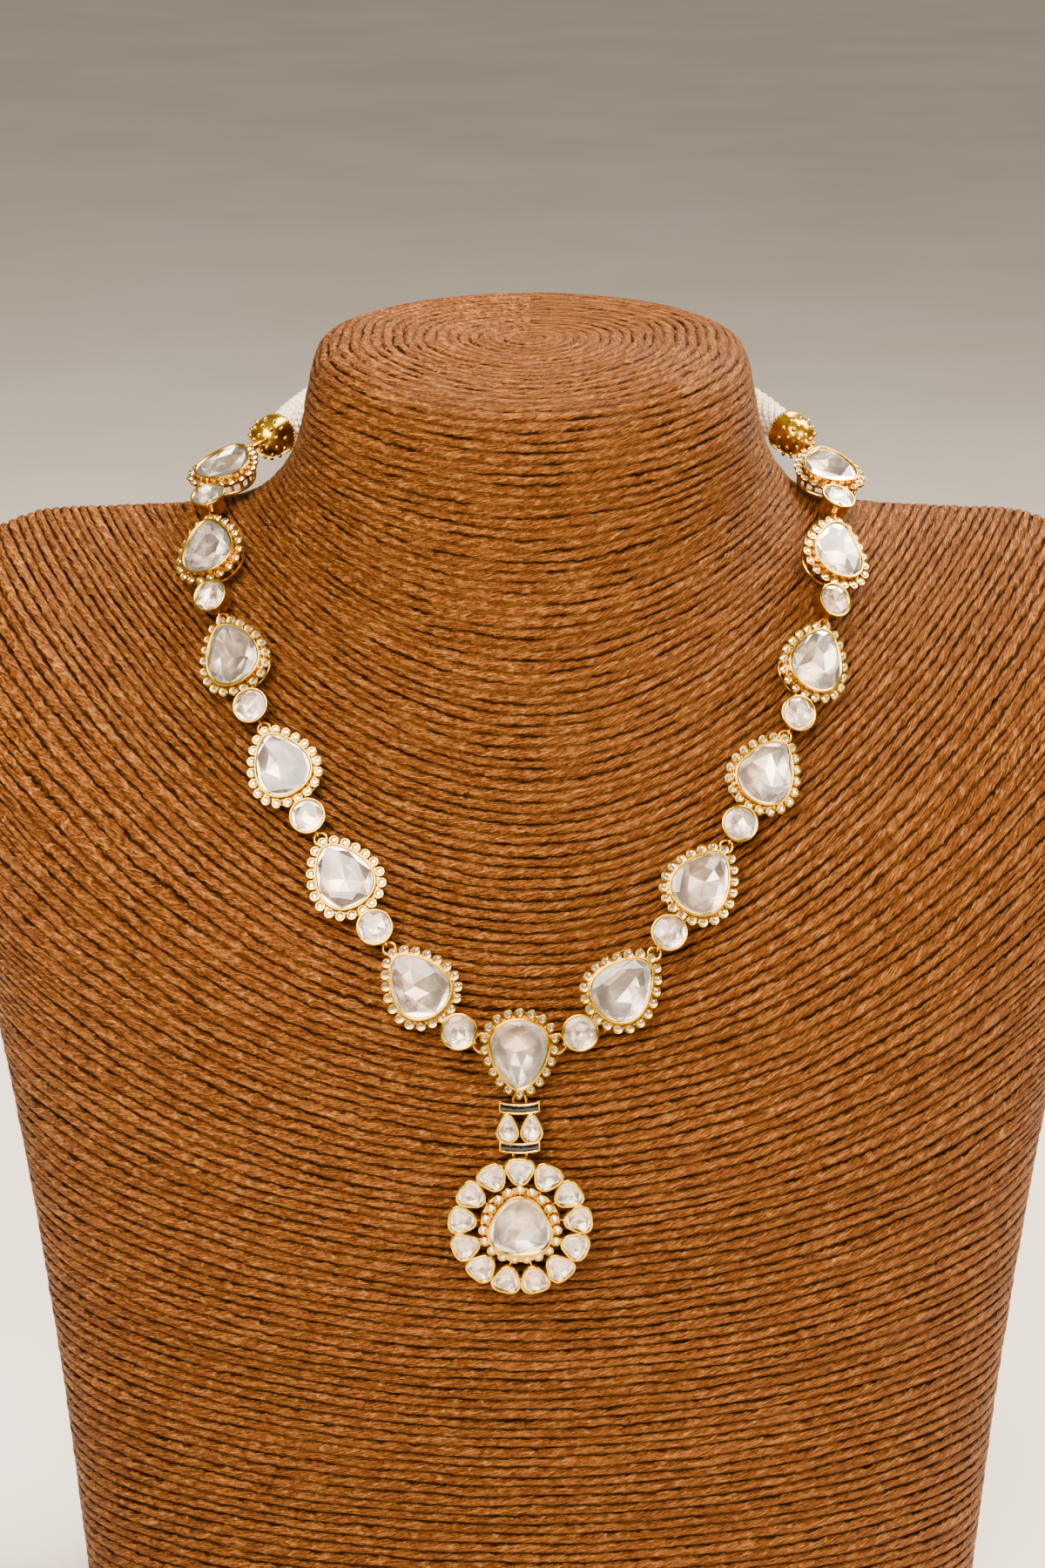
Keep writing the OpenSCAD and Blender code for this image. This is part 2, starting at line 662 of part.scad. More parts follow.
petal_r = petal_d / 2;
petal_gem_sides = 9;
heart_gem_sides = 15;
collet_rise = 0.2;
plate_lift = 0.05;
module pendant_frame()
    color(gold) put(flower_frame) {
        rotate([0, 0, 180]) {
            wall(corner_outline(heart_r, heart_bulge), corner_outline(heart_r, heart_bulge, -bezel_wall),
                plate_z + joint, heart_top);
            wall(corner_outline(heart_r, heart_bulge, foot_out),
                corner_outline(heart_r, heart_bulge, -joint), foot_z, foot_z + foot_h);
            wall(corner_outline(heart_r, heart_bulge, plate_out),
                corner_outline(heart_r, heart_bulge, -plate_in), plate_z, plate_z + plate_h);
            for (p = heart_halo()) collet(p, collet_z, collet_z + collet_h + collet_rise);
        }
        translate([0, 0, plate_z]) linear_extrude(plate_h) difference() {
            union() {
                circle(web_out);
                for (i = [0 : petal_count - 1]) rotate(i * 360 / petal_count)
                    translate([-web_arm / 2, -web_reach]) square([web_arm, web_reach - web_in]);
            }
            circle(web_in);
        }
        for (r = [inner_ring_r, outer_ring_r])
            linear_extrude(wire_h) difference() {
                circle(r + wire_w / 2);
                circle(r - wire_w / 2);
            }
        petals() {
            slab(corner_outline(petal_r, petal_bulge, 0, small_sides), plate_z + plate_lift,
                plate_z + cup_plate);
            wall(corner_outline(petal_r, petal_bulge, 0, small_sides),
                corner_outline(petal_r, petal_bulge, -bezel_wall, small_sides),
                plate_z + cup_plate - joint, petal_top);
        }
        for (i = [0 : petal_count - 1]) {
            a = i * 360 / petal_count;
            spoke = [sin(a), -cos(a)];
            post(inner_ring_r * spoke, wire_h - joint, plate_z + plate_h);
            if (i > 0) post(outer_ring_r * spoke, wire_h - joint, plate_z + plate_h);
        }
        eye([0, -flower_eye]);
    }

module pendant_stone()
    color(glass) put(flower_frame) rotate([0, 0, 180])
        cut_stone(corner_outline(heart_r, heart_bulge, -bezel_wall - stone_gap, heart_gem_sides), [
            [foot_share, plate_z + plate_h + stone_gap],
            [1, heart_top - stone_gap - girdle],
            [1, heart_top - stone_gap],
            [table_share, heart_top + stone_rise]]);

module petal_stones()
    color(glass) put(flower_frame) petals()
        cut_stone(corner_outline(petal_r, petal_bulge, -bezel_wall - stone_gap, petal_gem_sides), [
            [foot_share, plate_z + cup_plate + stone_gap],
            [1, petal_top - girdle],
            [1, petal_top - stone_gap],
            [table_share, petal_top + stone_rise]]);

// Gold cap: an eye on a shank, then a bowl that the rope goes into.
cap_wall = 0.55;
cap_floor = 0.5;
module end_cap(side)
    color(gold) put(cap_frame(side)) {
        bowl = shank_l + cap_r;
        shank_r = 0.9;
        translate([0, 0, -eye_h]) eye([0, 0]);
        rotate([-90, 0, 0]) rotate_extrude() polygon(concat(
            [[0, eye_r - joint], [shank_r, eye_r - joint]],
            [for (a = [10 : 10 : 90]) [cap_r * sin(a), bowl - cap_r * cos(a)]],
            [[cap_r, shank_l + cap_l], [cap_r - cap_wall, shank_l + cap_l],
                [cap_r - cap_wall, bowl - cap_floor], [0, shank_l + 4 * cap_floor]]));
    }

// The rope's middle line: into the cap, round the neck and into the clasp.
clasp_r = cap_r - 0.1;
clasp_place = place_of(at(left_line, left_line[0][len(left_line[0]) - 1][0]));
rope_play = 0.35;
clasp_bore = rope_r + rope_play;
bore_end = 0.5;
rope_stops = 15;
rope_ease = 7;
rope_straight = 1;
function rope_line(side) = let (
        f = cap_frame(side),
        mouth = shank_l + cap_l,
        line = line_of(side),
        start = marks_of(side)[4 * pairs + 2] + rope_in + rope_ease,
        whole = line[0][len(line[0]) - 1][0],
        end = whole - clasp_l / 2 - rope_ease,
        x = side * clasp_l / 2)
    concat(
        [spot(f, [0, mouth - rope_in, 0]), spot(f, [0, mouth + rope_straight, 0])],
        [for (i = [0 : rope_stops]) place_of(at(line, start + (end - start) * i / rope_stops))],
        [clasp_place + [x + side * rope_straight, 0, 0], clasp_place + [x - side * rope_in, 0, 0]]);

module tube(line, r, sides) {
    n = len(line);
    rings = [for (i = [0 : n - 1]) let (
            t = unit(line[min(i + 1, n - 1)] - line[max(i - 1, 0)]),
            a = unit(cross([0, 0, 1], t)),
            b = cross(t, a))
        each [for (j = [0 : sides - 1]) let (w = 360 * j / sides)
            line[i] + r * (cos(w) * a + sin(w) * b)]];
    skin = [for (i = [0 : n - 2]) for (j = [0 : sides - 1]) let (
            a = i * sides + j,
            b = i * sides + (j + 1) % sides)
        each [[a, a + sides, b + sides], [a, b + sides, b]]];
    polyhedron(rings, concat(skin, [[for (j = [0 : sides - 1]) j]],
        [[for (j = [sides - 1 : -1 : 0]) (n - 1) * sides + j]]));
}

rope_sides = 12;
module pearl_rope(side)
    color(pearl) tube(rope_line(side), rope_r, rope_sides);

module barrel_clasp()
    color(gold) translate(clasp_place) rotate([0, 90, 0]) difference() {
        translate([0, 0, -clasp_l / 2]) cylinder(r = clasp_r, h = clasp_l);
        for (end = [0, 1]) mirror([0, 0, end])
            translate([0, 0, clasp_l / 2 - rope_in - bore_end])
                cylinder(r = clasp_bore, h = rope_in + 2 * bore_end);
    }

module neck_bust() {
    rows = (len(sections) - 1) * bust_steps;
    points = concat([skin(0, 0)], [for (k = [1 : rows]) for (j = [0 : bust_sides - 1])
        skin(k / bust_steps, 360 * j / bust_sides)]);
    crown = [for (j = [0 : bust_sides - 1]) [0, 1 + (j + 1) % bust_sides, 1 + j]];
    coat = [for (k = [0 : rows - 2]) for (j = [0 : bust_sides - 1]) let (
            a = 1 + k * bust_sides + j,
            b = 1 + k * bust_sides + (j + 1) % bust_sides)
        each [[a, b, b + bust_sides], [a, b + bust_sides, a + bust_sides]]];
    base = [[for (j = [0 : bust_sides - 1]) 1 + (rows - 1) * bust_sides + j]];
    color(straw) polyhedron(points, concat(crown, coat, base));
}

SIDES = [["left", LEFT], ["right", RIGHT]];

neck_bust();
centre_setting();
centre_stone();
round_stones();
pendant_rings();
bail_frame();
bail_enamel();
bail_stones();
pendant_frame();
pendant_stone();
petal_stones();
barrel_clasp();
for (s = SIDES) {
    jump_rings(s[1]);
    end_cap(s[1]);
    pearl_rope(s[1]);
    for (i = [1 : pairs]) {
        pear_setting(s[1], i);
        pear_stone(s[1], i);
        round_setting(s[1], i);
    }
}
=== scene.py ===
"""Dresses the kundan necklace and its cord-wrapped neck bust for close viewing.

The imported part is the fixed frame. The bust's wrapped skin, the links' mounts, the foil-backed
stones, the enamelled bail, the flower and the ropes of seed pearls are worked out here as whole
arrays, in millimetres, on the same lines as the part, and turned to metres at the end.
"""

from __future__ import annotations

import json
import logging
import math
from dataclasses import dataclass, field
from enum import Enum, IntEnum

import bpy
import numpy as np
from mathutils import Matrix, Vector

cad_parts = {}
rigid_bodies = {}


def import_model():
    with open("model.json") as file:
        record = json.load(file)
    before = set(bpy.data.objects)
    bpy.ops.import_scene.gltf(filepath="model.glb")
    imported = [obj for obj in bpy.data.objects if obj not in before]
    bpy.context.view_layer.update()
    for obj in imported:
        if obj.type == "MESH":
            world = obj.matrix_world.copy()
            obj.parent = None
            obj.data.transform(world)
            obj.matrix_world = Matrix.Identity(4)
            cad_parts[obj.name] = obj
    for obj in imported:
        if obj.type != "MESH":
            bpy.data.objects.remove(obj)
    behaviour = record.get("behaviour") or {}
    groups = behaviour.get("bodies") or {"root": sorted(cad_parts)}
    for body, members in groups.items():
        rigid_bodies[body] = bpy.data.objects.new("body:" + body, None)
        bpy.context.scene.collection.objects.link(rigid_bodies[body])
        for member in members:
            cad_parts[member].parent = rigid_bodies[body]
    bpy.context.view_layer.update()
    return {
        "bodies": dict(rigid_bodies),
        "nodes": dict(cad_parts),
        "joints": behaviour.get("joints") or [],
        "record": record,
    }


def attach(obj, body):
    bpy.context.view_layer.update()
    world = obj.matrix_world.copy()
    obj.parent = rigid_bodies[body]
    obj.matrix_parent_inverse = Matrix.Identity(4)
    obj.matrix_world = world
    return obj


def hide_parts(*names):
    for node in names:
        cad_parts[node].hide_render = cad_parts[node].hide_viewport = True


LOG = logging.getLogger("kundan_necklace")
Array = np.ndarray
Tree = bpy.types.NodeTree
Node = bpy.types.Node
Material = bpy.types.Material
MM = 0.001
IMAGE_HEIGHT = 1800
UP = np.array([0.0, 0.0, 1.0])


# Bust's sections, as shares of its width, depth and height.
class Part(IntEnum):
    """Columns of the bust's section table."""

    WIDE = 0
    DEEP_SIDE = 1
    DEEP_FRONT = 2
    DEEP_BACK = 3
    HIGH_SIDE = 4
    HIGH_FRONT = 5
    HIGH_BACK = 6
    FULL = 7


SECTIONS = np.array([
    [0.000, 0.078, 0.078, 0.078, 1.008, 1.008, 1.008, 1.00],
    [0.079, 0.078, -0.071, 0.226, 1.009, 0.999, 1.013, 0.60],
    [0.146, 0.078, -0.198, 0.360, 1.010, 0.986, 1.020, 0.50],
    [0.180, 0.078, -0.254, 0.412, 0.998, 0.967, 1.014, 0.50],
    [0.190, 0.078, -0.279, 0.431, 0.970, 0.937, 0.987, 0.52],
    [0.197, 0.081, -0.293, 0.438, 0.938, 0.901, 0.945, 0.62],
    [0.210, 0.088, -0.307, 0.445, 0.909, 0.857, 0.899, 0.90],
    [0.237, 0.099, -0.329, 0.445, 0.886, 0.812, 0.851, 1.15],
    [0.286, 0.106, -0.364, 0.438, 0.877, 0.753, 0.799, 1.40],
    [0.357, 0.092, -0.410, 0.424, 0.875, 0.685, 0.734, 1.60],
    [0.425, 0.057, -0.463, 0.410, 0.873, 0.617, 0.662, 1.55],
    [0.475, 0.000, -0.509, 0.389, 0.847, 0.565, 0.597, 1.35],
    [0.500, -0.057, -0.537, 0.367, 0.766, 0.519, 0.539, 1.15],
    [0.491, -0.099, -0.551, 0.353, 0.649, 0.464, 0.474, 1.00],
    [0.461, -0.120, -0.555, 0.332, 0.513, 0.396, 0.403, 0.90],
    [0.432, -0.134, -0.544, 0.311, 0.364, 0.299, 0.302, 0.80],
    [0.407, -0.141, -0.523, 0.297, 0.195, 0.162, 0.162, 0.75],
    [0.386, -0.141, -0.502, 0.283, 0.000, 0.000, 0.000, 0.75],
])

# Where the necklace lies: section row, swing from the front in degrees, lift and roll. Both sides
# pass round the nape alike.
DROP_WAY = np.array([[11.95, -1.1, 0.0, 0], *[[row, -1.1, 0.1, 0] for row in np.arange(12.5, 16, 0.5)]])
NAPE_WAY = (
    (5.07, 123.6, 5.5, 0),
    (4.70, 145.9, 4.2, 0),
    (4.63, 163.0, 3.5, 0),
    (4.62, 180.0, 3.3, 0),
    (4.63, 197.0, 3.5, 0),
)
LEFT_WAY = np.array([
    [11.75, 6.8, 0.1, 0],
    [11.17, 10.9, 0.2, 0],
    [10.61, 16.2, 0.2, 0],
    [10.18, 20.6, 0.3, 0],
    [9.77, 26.4, 0.4, 0],
    [9.46, 31.2, 0.6, 3],
    [9.18, 38.3, 0.8, 5],
    [8.84, 43.9, 1.9, 8],
    [8.59, 53.3, 1.5, 10],
    [8.21, 60.2, 2.0, 10],
    [7.88, 74.1, 2.3, 2],
    [7.48, 90.7, 3.6, -18],
    [6.76, 101.5, 6.8, -25],
    [6.10, 109.1, 6.3, -15],
    *NAPE_WAY,
])
RIGHT_WAY = np.array([
    [11.75, 4.2, 0.1, 0],
    [11.17, 8.7, 0.1, 0],
    [10.60, 14.1, 0.2, 0],
    [10.17, 18.2, 0.3, 0],
    [9.78, 24.1, 0.4, 0],
    [9.47, 28.4, 0.8, 3],
    [9.18, 35.4, 0.8, 5],
    [8.85, 40.7, 1.95, 8],
    [8.51, 49.2, 1.5, 10],
    [8.16, 56.3, 2.0, 10],
    [7.66, 70.0, 2.3, 2],
    [7.28, 91.3, 3.6, -18],
    [6.70, 101.4, 6.8, -25],
    [5.73, 109.1, 6.2, -15],
    *NAPE_WAY,
])

# Width, length and taper of each pear link, as shares of the pear link's size.
CENTRE_SHAPE = (1.00, 1.00, 0.30)
LEFT_SHAPES = ((0.99, 0.99, 0.30), (0.99, 0.99, 0.28), (0.98, 0.98, 0.30),
               (0.98, 0.97, 0.31), (0.97, 0.96, 0.29), (0.96, 0.96, 0.30))
RIGHT_SHAPES = ((1.00, 0.99, 0.29), (0.98, 0.98, 0.30), (0.99, 0.98, 0.31),
                (0.98, 0.97, 0.29), (0.97, 0.96, 0.30), (0.96, 0.96, 0.30))


class Side(Enum):
    """A side of the necklace, as the viewer sees it."""

    LEFT = "left"
    RIGHT = "right"

    @property
    def sign(self) -> int:
        """Direction of the side along X."""
        return -1 if self is Side.LEFT else 1


def unit(v: Array) -> Array:
    """Directions of length one: v / |v|."""
    return v / np.maximum(np.linalg.norm(v, axis=-1, keepdims=True), 1e-12)


def turns(count: int, shift: float = 0.0) -> Array:
    """Equal angles round a circle, in radians: 2 pi (i + shift) / count."""
    return (np.arange(count) + shift) * 2 * np.pi / count


def lengths(line: Array, least: float = 0.0) -> Array:
    """Lengths along rows of places, from 0: each step adds |b - a| + least."""
    step = np.linalg.norm(np.diff(line, axis=-2), axis=-1) + least
    return np.concatenate([np.zeros(step.shape[:-1] + (1,)), np.cumsum(step, axis=-1)], axis=-1)


def catmull_rom(p: Array, q: Array, r: Array, s: Array, t: Array) -> Array:
    """Places on a smooth span from q to r.

    The formula is q + t(r - p)/2 + t^2(2p - 5q + 4r - s)/2 + t^3(3(q - r) + s - p)/2.

    Args:
        p, q, r, s: four places in a row, the span being between q and r.
        t: share of the span, from 0 to 1.

    Returns:
        The places, in the shape that the arguments broadcast to.
    """
    return (q + t * (r - p) / 2 + t**2 * (2 * p - 5 * q + 4 * r - s) / 2
            + t**3 * (3 * (q - r) + s - p) / 2)


def smooth_step(low: float, high: float, x: Array) -> Array:
    """Rises from 0 at low to 1 at high: 3t^2 - 2t^3."""
    t = np.clip((x - low) / (high - low), 0, 1)
    return t * t * (3 - 2 * t)


def hashed(index: Array, seed: int) -> Array:
    """A steady random share from 0 to 1 for each whole number: fract(|sin(i * a + s * b)| * c)."""
    return np.modf(np.abs(np.sin(index * 12.9898 + seed * 78.233)) * 43758.5453)[0]


def soft_noise(x: Array, y: Array, seed: int) -> Array:
    """Smooth noise from -1 to 1: random values at whole x and y, blended by 3t^2 - 2t^3.

    Args:
        x, y: places, one unit apart for each new random value.
        seed: picks the random values.

    Returns:
        The noise, in the shape that x and y broadcast to.
    """
    i, j = np.floor(x), np.floor(y)
    u, v = smooth_step(0, 1, x - i), smooth_step(0, 1, y - j)
    corner = [[hashed((i + a) + 157.0 * (j + b), seed) for a in (0, 1)] for b in (0, 1)]
    low = corner[0][0] * (1 - u) + corner[0][1] * u
    high = corner[1][0] * (1 - u) + corner[1][1] * u
    return 2 * (low * (1 - v) + high * v) - 1


@dataclass(frozen=True)
class Frame:
    """A link's own frame: X across, Y along the chain, Z off the bust."""

    origin: Array
    x: Array
    y: Array
    z: Array

    @classmethod
    def along(cls, origin: Array, way: Array, off: Array, roll: float = 0.0, side: int = 1) -> Frame:
        """A frame whose Y is the way and whose Z leans towards off.

        Z is cos(roll) f + sin(roll) side (Y x f), where f is off without its part along Y.

        Args:
            origin: the frame's place.
            way: direction along the chain.
            off: direction off the bust.
            roll: turn about Y, in degrees.
            side: sign of the turn.

        Returns:
            The frame.
        """
        y = unit(way)
        flat = unit(off - (off @ y) * y)
        turn = math.radians(roll)
        z = math.cos(turn) * flat + math.sin(turn) * side * np.cross(y, flat)
        return cls(origin, np.cross(y, z), y, z)

    @classmethod
    def of(cls, origin: Array, x: Array, y: Array) -> Frame:
        """A frame of plain rows of numbers, with Z = X x Y."""
        origin, x, y = (np.array(row, float) for row in (origin, x, y))
        return cls(origin, x, y, np.cross(x, y))

    def spot(self, p: Array) -> Array:
        """Places of local points: origin + px X + py Y + pz Z."""
        return self.origin + np.asarray(p, float) @ np.stack([self.x, self.y, self.z])

    def at(self, p: Array) -> Frame:
        """The same frame moved to a local point."""
        return Frame(self.spot(p), self.x, self.y, self.z)


@dataclass
class Shell:
    """Points in millimetres with their faces, each face array holding faces of one size.

    finish and tints are per face array: a material's index, and the colours of the faces' corners.
    """

    points: Array
    faces: list[Array]
    finish: list[int] = field(default_factory=list)
    tints: list[Array] = field(default_factory=list)

    def __post_init__(self) -> None:
        """Fills the finishes and tints that weren't given."""
        self.faces = [np.asarray(f, int) for f in self.faces if len(f)]
        self.finish = self.finish or [0] * len(self.faces)
        self.tints = self.tints or [np.ones(f.shape + (3,)) for f in self.faces]

    def volume(self) -> float:
        """Signed volume: a sixth of the sum of a . (b x c) over the faces' triangles.

        Returns:
            The volume in cubic millimetres.
        """
        total = 0.0
        for block in self.faces:
            a = self.points[block[:, 0]]
            for k in range(1, block.shape[1] - 1):
                b, c = self.points[block[:, k]], self.points[block[:, k + 1]]
                total += float(np.einsum("ij,ij->", a, np.cross(b, c)))
        return total / 6

    def outward(self) -> Shell:
        """The shell with its faces turned outwards, going by the sign of its volume.

        Returns:
            The same shell.
        """
        centred = Shell(self.points - self.points.mean(axis=0), self.faces)
        if centred.volume() < 0:
            self.faces = [block[:, ::-1] for block in self.faces]
            self.tints = [tint[:, ::-1] for tint in self.tints]
        return self

    def put(self, frame: Frame) -> Shell:
        """The shell carried into a link's frame."""
        return Shell(frame.spot(self.points), self.faces, self.finish, self.tints)

    def repeated(self, places: Array) -> Shell:
        """Copies of the shell moved to each place.

        Args:
            places: a row (x, y, z) for each copy.

        Returns:
            The copies as one shell.
        """
        n, count = len(self.points), len(places)
        points = (places[:, None, :] + self.points[None]).reshape(-1, 3)
        step = (np.arange(count) * n)[:, None, None]
        faces = [(block[None] + step).reshape(-1, block.shape[1]) for block in self.faces]
        tints = [np.tile(t, (count, 1, 1)) for t in self.tints]
        return Shell(points, faces, self.finish, tints)


def joined(shells: list[Shell]) -> Shell:
    """One shell of several, their faces' numbers moved on.

    Args:
        shells: the shells to join.

    Returns:
        The joined shell.
    """
    starts = np.cumsum([0] + [len(s.points) for s in shells])
    faces = [block + start for s, start in zip(shells, starts) for block in s.faces]
    finish = [index for s in shells for index in s.finish]
    tints = [t for s in shells for t in s.tints]
    return Shell(np.concatenate([s.points for s in shells]), faces, finish, tints)


def grid_faces(rows: int, columns: int, wrap_rows: bool = False, wrap_columns: bool = False) -> Array:
    """Faces of a grid of points that is stored row by row.

    Args:
        rows: number of rows of points.
        columns: number of points in a row.
        wrap_rows: whether the last row meets the first.
        wrap_columns: whether the last column meets the first.

    Returns:
        An array of four corners for each face.
    """
    i = np.arange(rows if wrap_rows else rows - 1)[:, None]
    j = np.arange(columns if wrap_columns else columns - 1)[None]
    a, b = i * columns + j, i * columns + (j + 1) % columns
    below = ((i + 1) % rows) * columns
    return np.stack([a, b, below + (j + 1) % columns, below + j], axis=-1).reshape(-1, 4)


def tube_faces(rows: int, sides: int, closed: bool) -> list[Array]:
    """Faces of a row of rings of points.

    Args:
        rows: number of rings.
        sides: points in a ring.
        closed: whether the last ring meets the first. If not, both ends are capped flat.

    Returns:
        The arrays of faces.
    """
    faces = [grid_faces(rows, sides, closed, True)]
    if not closed:
        ring = np.arange(sides)
        faces.append(np.stack([ring[::-1], (rows - 1) * sides + ring]))
    return faces


def lathe(profile: Array, sides: int) -> Shell:
    """A turned form: profile points (r, z) become (r cos a, r sin a, z) at equal angles a.

    Args:
        profile: radius and height from pole to pole. Both ends lie on the axis.
        sides: points round the axis.

    Returns:
        A closed shell.
    """
    profile = np.asarray(profile, float)
    body, n = profile[1:-1], len(profile) - 2
    turn = turns(sides)
    rings = np.stack([body[:, :1] * np.cos(turn), body[:, :1] * np.sin(turn),
                      np.repeat(body[:, 1:], sides, axis=1)], axis=-1).reshape(-1, 3)
    points = np.concatenate([rings, [[0, 0, profile[0, 1]], [0, 0, profile[-1, 1]]]])
    j = np.arange(sides)
    nxt, last = (j + 1) % sides, (n - 1) * sides
    low = np.stack([np.full(sides, n * sides), nxt, j], axis=-1)
    high = np.stack([np.full(sides, n * sides + 1), last + j, last + nxt], axis=-1)
    return Shell(points, [grid_faces(n, sides, wrap_columns=True), np.concatenate([low, high])]).outward()


def pipe(line: Array, radius: float, sides: int, off: Array, closed: bool = False) -> Shell:
    """A round wire along a line: p + r (cos a N + sin a B), with N across the line, towards off.

    Args:
        line: places along the wire's middle.
        radius: the wire's radius.
        sides: points round the wire.
        off: direction that N keeps to.
        closed: whether the wire's ends meet.

    Returns:
        A closed shell, capped flat if the wire has ends.
    """
    if closed:
        tangent = unit(np.roll(line, -1, axis=0) - np.roll(line, 1, axis=0))
    else:
        tangent = unit(np.gradient(line, axis=0))
    across = unit(np.cross(tangent, np.cross(np.broadcast_to(off, line.shape), tangent)))
    other = np.cross(tangent, across)
    turn = turns(sides)
    rings = (line[:, None] + radius * (np.cos(turn)[None, :, None] * across[:, None]
                                       + np.sin(turn)[None, :, None] * other[:, None]))
    return Shell(rings.reshape(-1, 3), tube_faces(len(line), sides, closed)).outward()


def circle(radius: float, height: float, angle: Array) -> Array:
    """Points (r cos a, r sin a, z) at the angles a."""
    return np.stack([radius * np.cos(angle), radius * np.sin(angle), height + 0 * angle], axis=-1)


def ball(radius: float, sides: int = 6, rings: int = 4) -> Shell:
    """A small grain: the turned form of (r sin b, -r cos b), b from 0 to 180 degrees."""
    b = np.linspace(0, np.pi, rings + 1)
    return lathe(np.stack([radius * np.sin(b), -radius * np.cos(b)], axis=-1), sides)


def torus(radius: float, wire: float, sides: int = 20, wire_sides: int = 8) -> Shell:
    """A ring of wire round the Z axis, its middle line a circle of the radius."""
    return pipe(circle(radius, 0, turns(sides)), wire, wire_sides, UP, closed=True)


@dataclass(frozen=True)
class Outline:
    """A bezel's outline on its link's back plane, grown by out all round."""

    def at(self, out: Array, angle: Array) -> Array:
        """Points (x, y) of the grown outline.

        Args:
            out: how far the outline is grown.
            angle: angles from +Y, in radians.

        Returns:
            Points, in the shape that out and angle broadcast to.
        """
        raise NotImplementedError

    def evenly(self, out: float, count: int, fine: int = 240) -> Array:
        """Points at equal distances along the grown outline.

        Args:
            out: how far the outline is grown.
            count: number of points.
            fine: points of the polygon that the distances are measured on.

        Returns:
            An array of count points (x, y).
        """
        angle = np.linspace(0, 2 * np.pi, fine + 1)
        line = self.at(np.float64(out), angle)
        length = lengths(line)
        at = np.interp(np.arange(count) * length[-1] / count, length, angle)
        return self.at(np.float64(out), at)


@dataclass(frozen=True)
class PearOutline(Outline):
    """A pear: x = (W/2 + out) sin t (1 - k cos t) / swell and y = (L/2 + out) cos t."""

    width: float
    length: float
    taper: float

    def at(self, out: Array, angle: Array) -> Array:
        """Points of the pear, its tip at angle 0.

        Args:
            out: how far the outline is grown.
            angle: angles from +Y, in radians.

        Returns:
            Points, in the shape that out and angle broadcast to.
        """
        fine = np.radians(np.arange(0, 181, 2))
        swell = np.max(np.sin(fine) * (1 - self.taper * np.cos(fine)))
        x = (self.width / 2 + out) * np.sin(angle) * (1 - self.taper * np.cos(angle)) / swell
        return np.stack([x, (self.length / 2 + out) * np.cos(angle)], axis=-1)


@dataclass(frozen=True)
class CornerOutline(Outline):
    """A rounded triangle: radius r (1 + bulge cos 3t) + out. A bulge of 0 gives a circle."""

    radius: float
    bulge: float = 0.0

    def at(self, out: Array, angle: Array) -> Array:
        """Points of the outline, one corner at angle 0."""
        r = self.radius * (1 + self.bulge * np.cos(3 * angle)) + out
        return np.stack([r * np.sin(angle), r * np.cos(angle)], axis=-1)


def band(outline: Outline, profile: Array, sides: int, ring: bool = True) -> Shell:
    """A closed band or plate: profile points (out, z) carried round the outline.

    Args:
        outline: the outline that is grown by out.
        profile: row of (out, z), the first point not repeated.
        sides: points round the outline.
        ring: whether the profile closes on itself. If not, its first and last rings are closed flat.

    Returns:
        A closed shell.
    """
    profile = np.asarray(profile, float)
    flat = outline.at(profile[:, None, 0], turns(sides)[None])
    height = np.broadcast_to(profile[:, 1, None, None], flat.shape[:2] + (1,))
    points = np.concatenate([flat, height], axis=-1).reshape(-1, 3)
    return Shell(points, tube_faces(len(profile), sides, ring)).outward()


def flat_ring(outline: Outline, inner: float, outer: float, low: float, high: float, sides: int) -> Shell:
    """A flat ring between two growths of an outline and two heights."""
    return band(outline, [(inner, low), (outer, low), (outer, high), (inner, high)], sides)


def wire_ring(outline: Outline, inner: float, outer: float, high: float, sides: int) -> Shell:
    """A ring of square wire on the back plane, its edges broken by 0.12 across and 0.14 in height."""
    return band(outline, [
        (inner + 0.12, 0), (outer - 0.12, 0), (outer, 0.14), (outer, high - 0.14), (outer - 0.12, high),
        (inner + 0.12, high), (inner, high - 0.14), (inner, 0.14)], sides)


def with_height(flat: Array, z: float) -> Array:
    """Points (x, y, z) of flat points (x, y)."""
    return np.concatenate([flat, np.full(flat.shape[:-1] + (1,), z)], axis=-1)


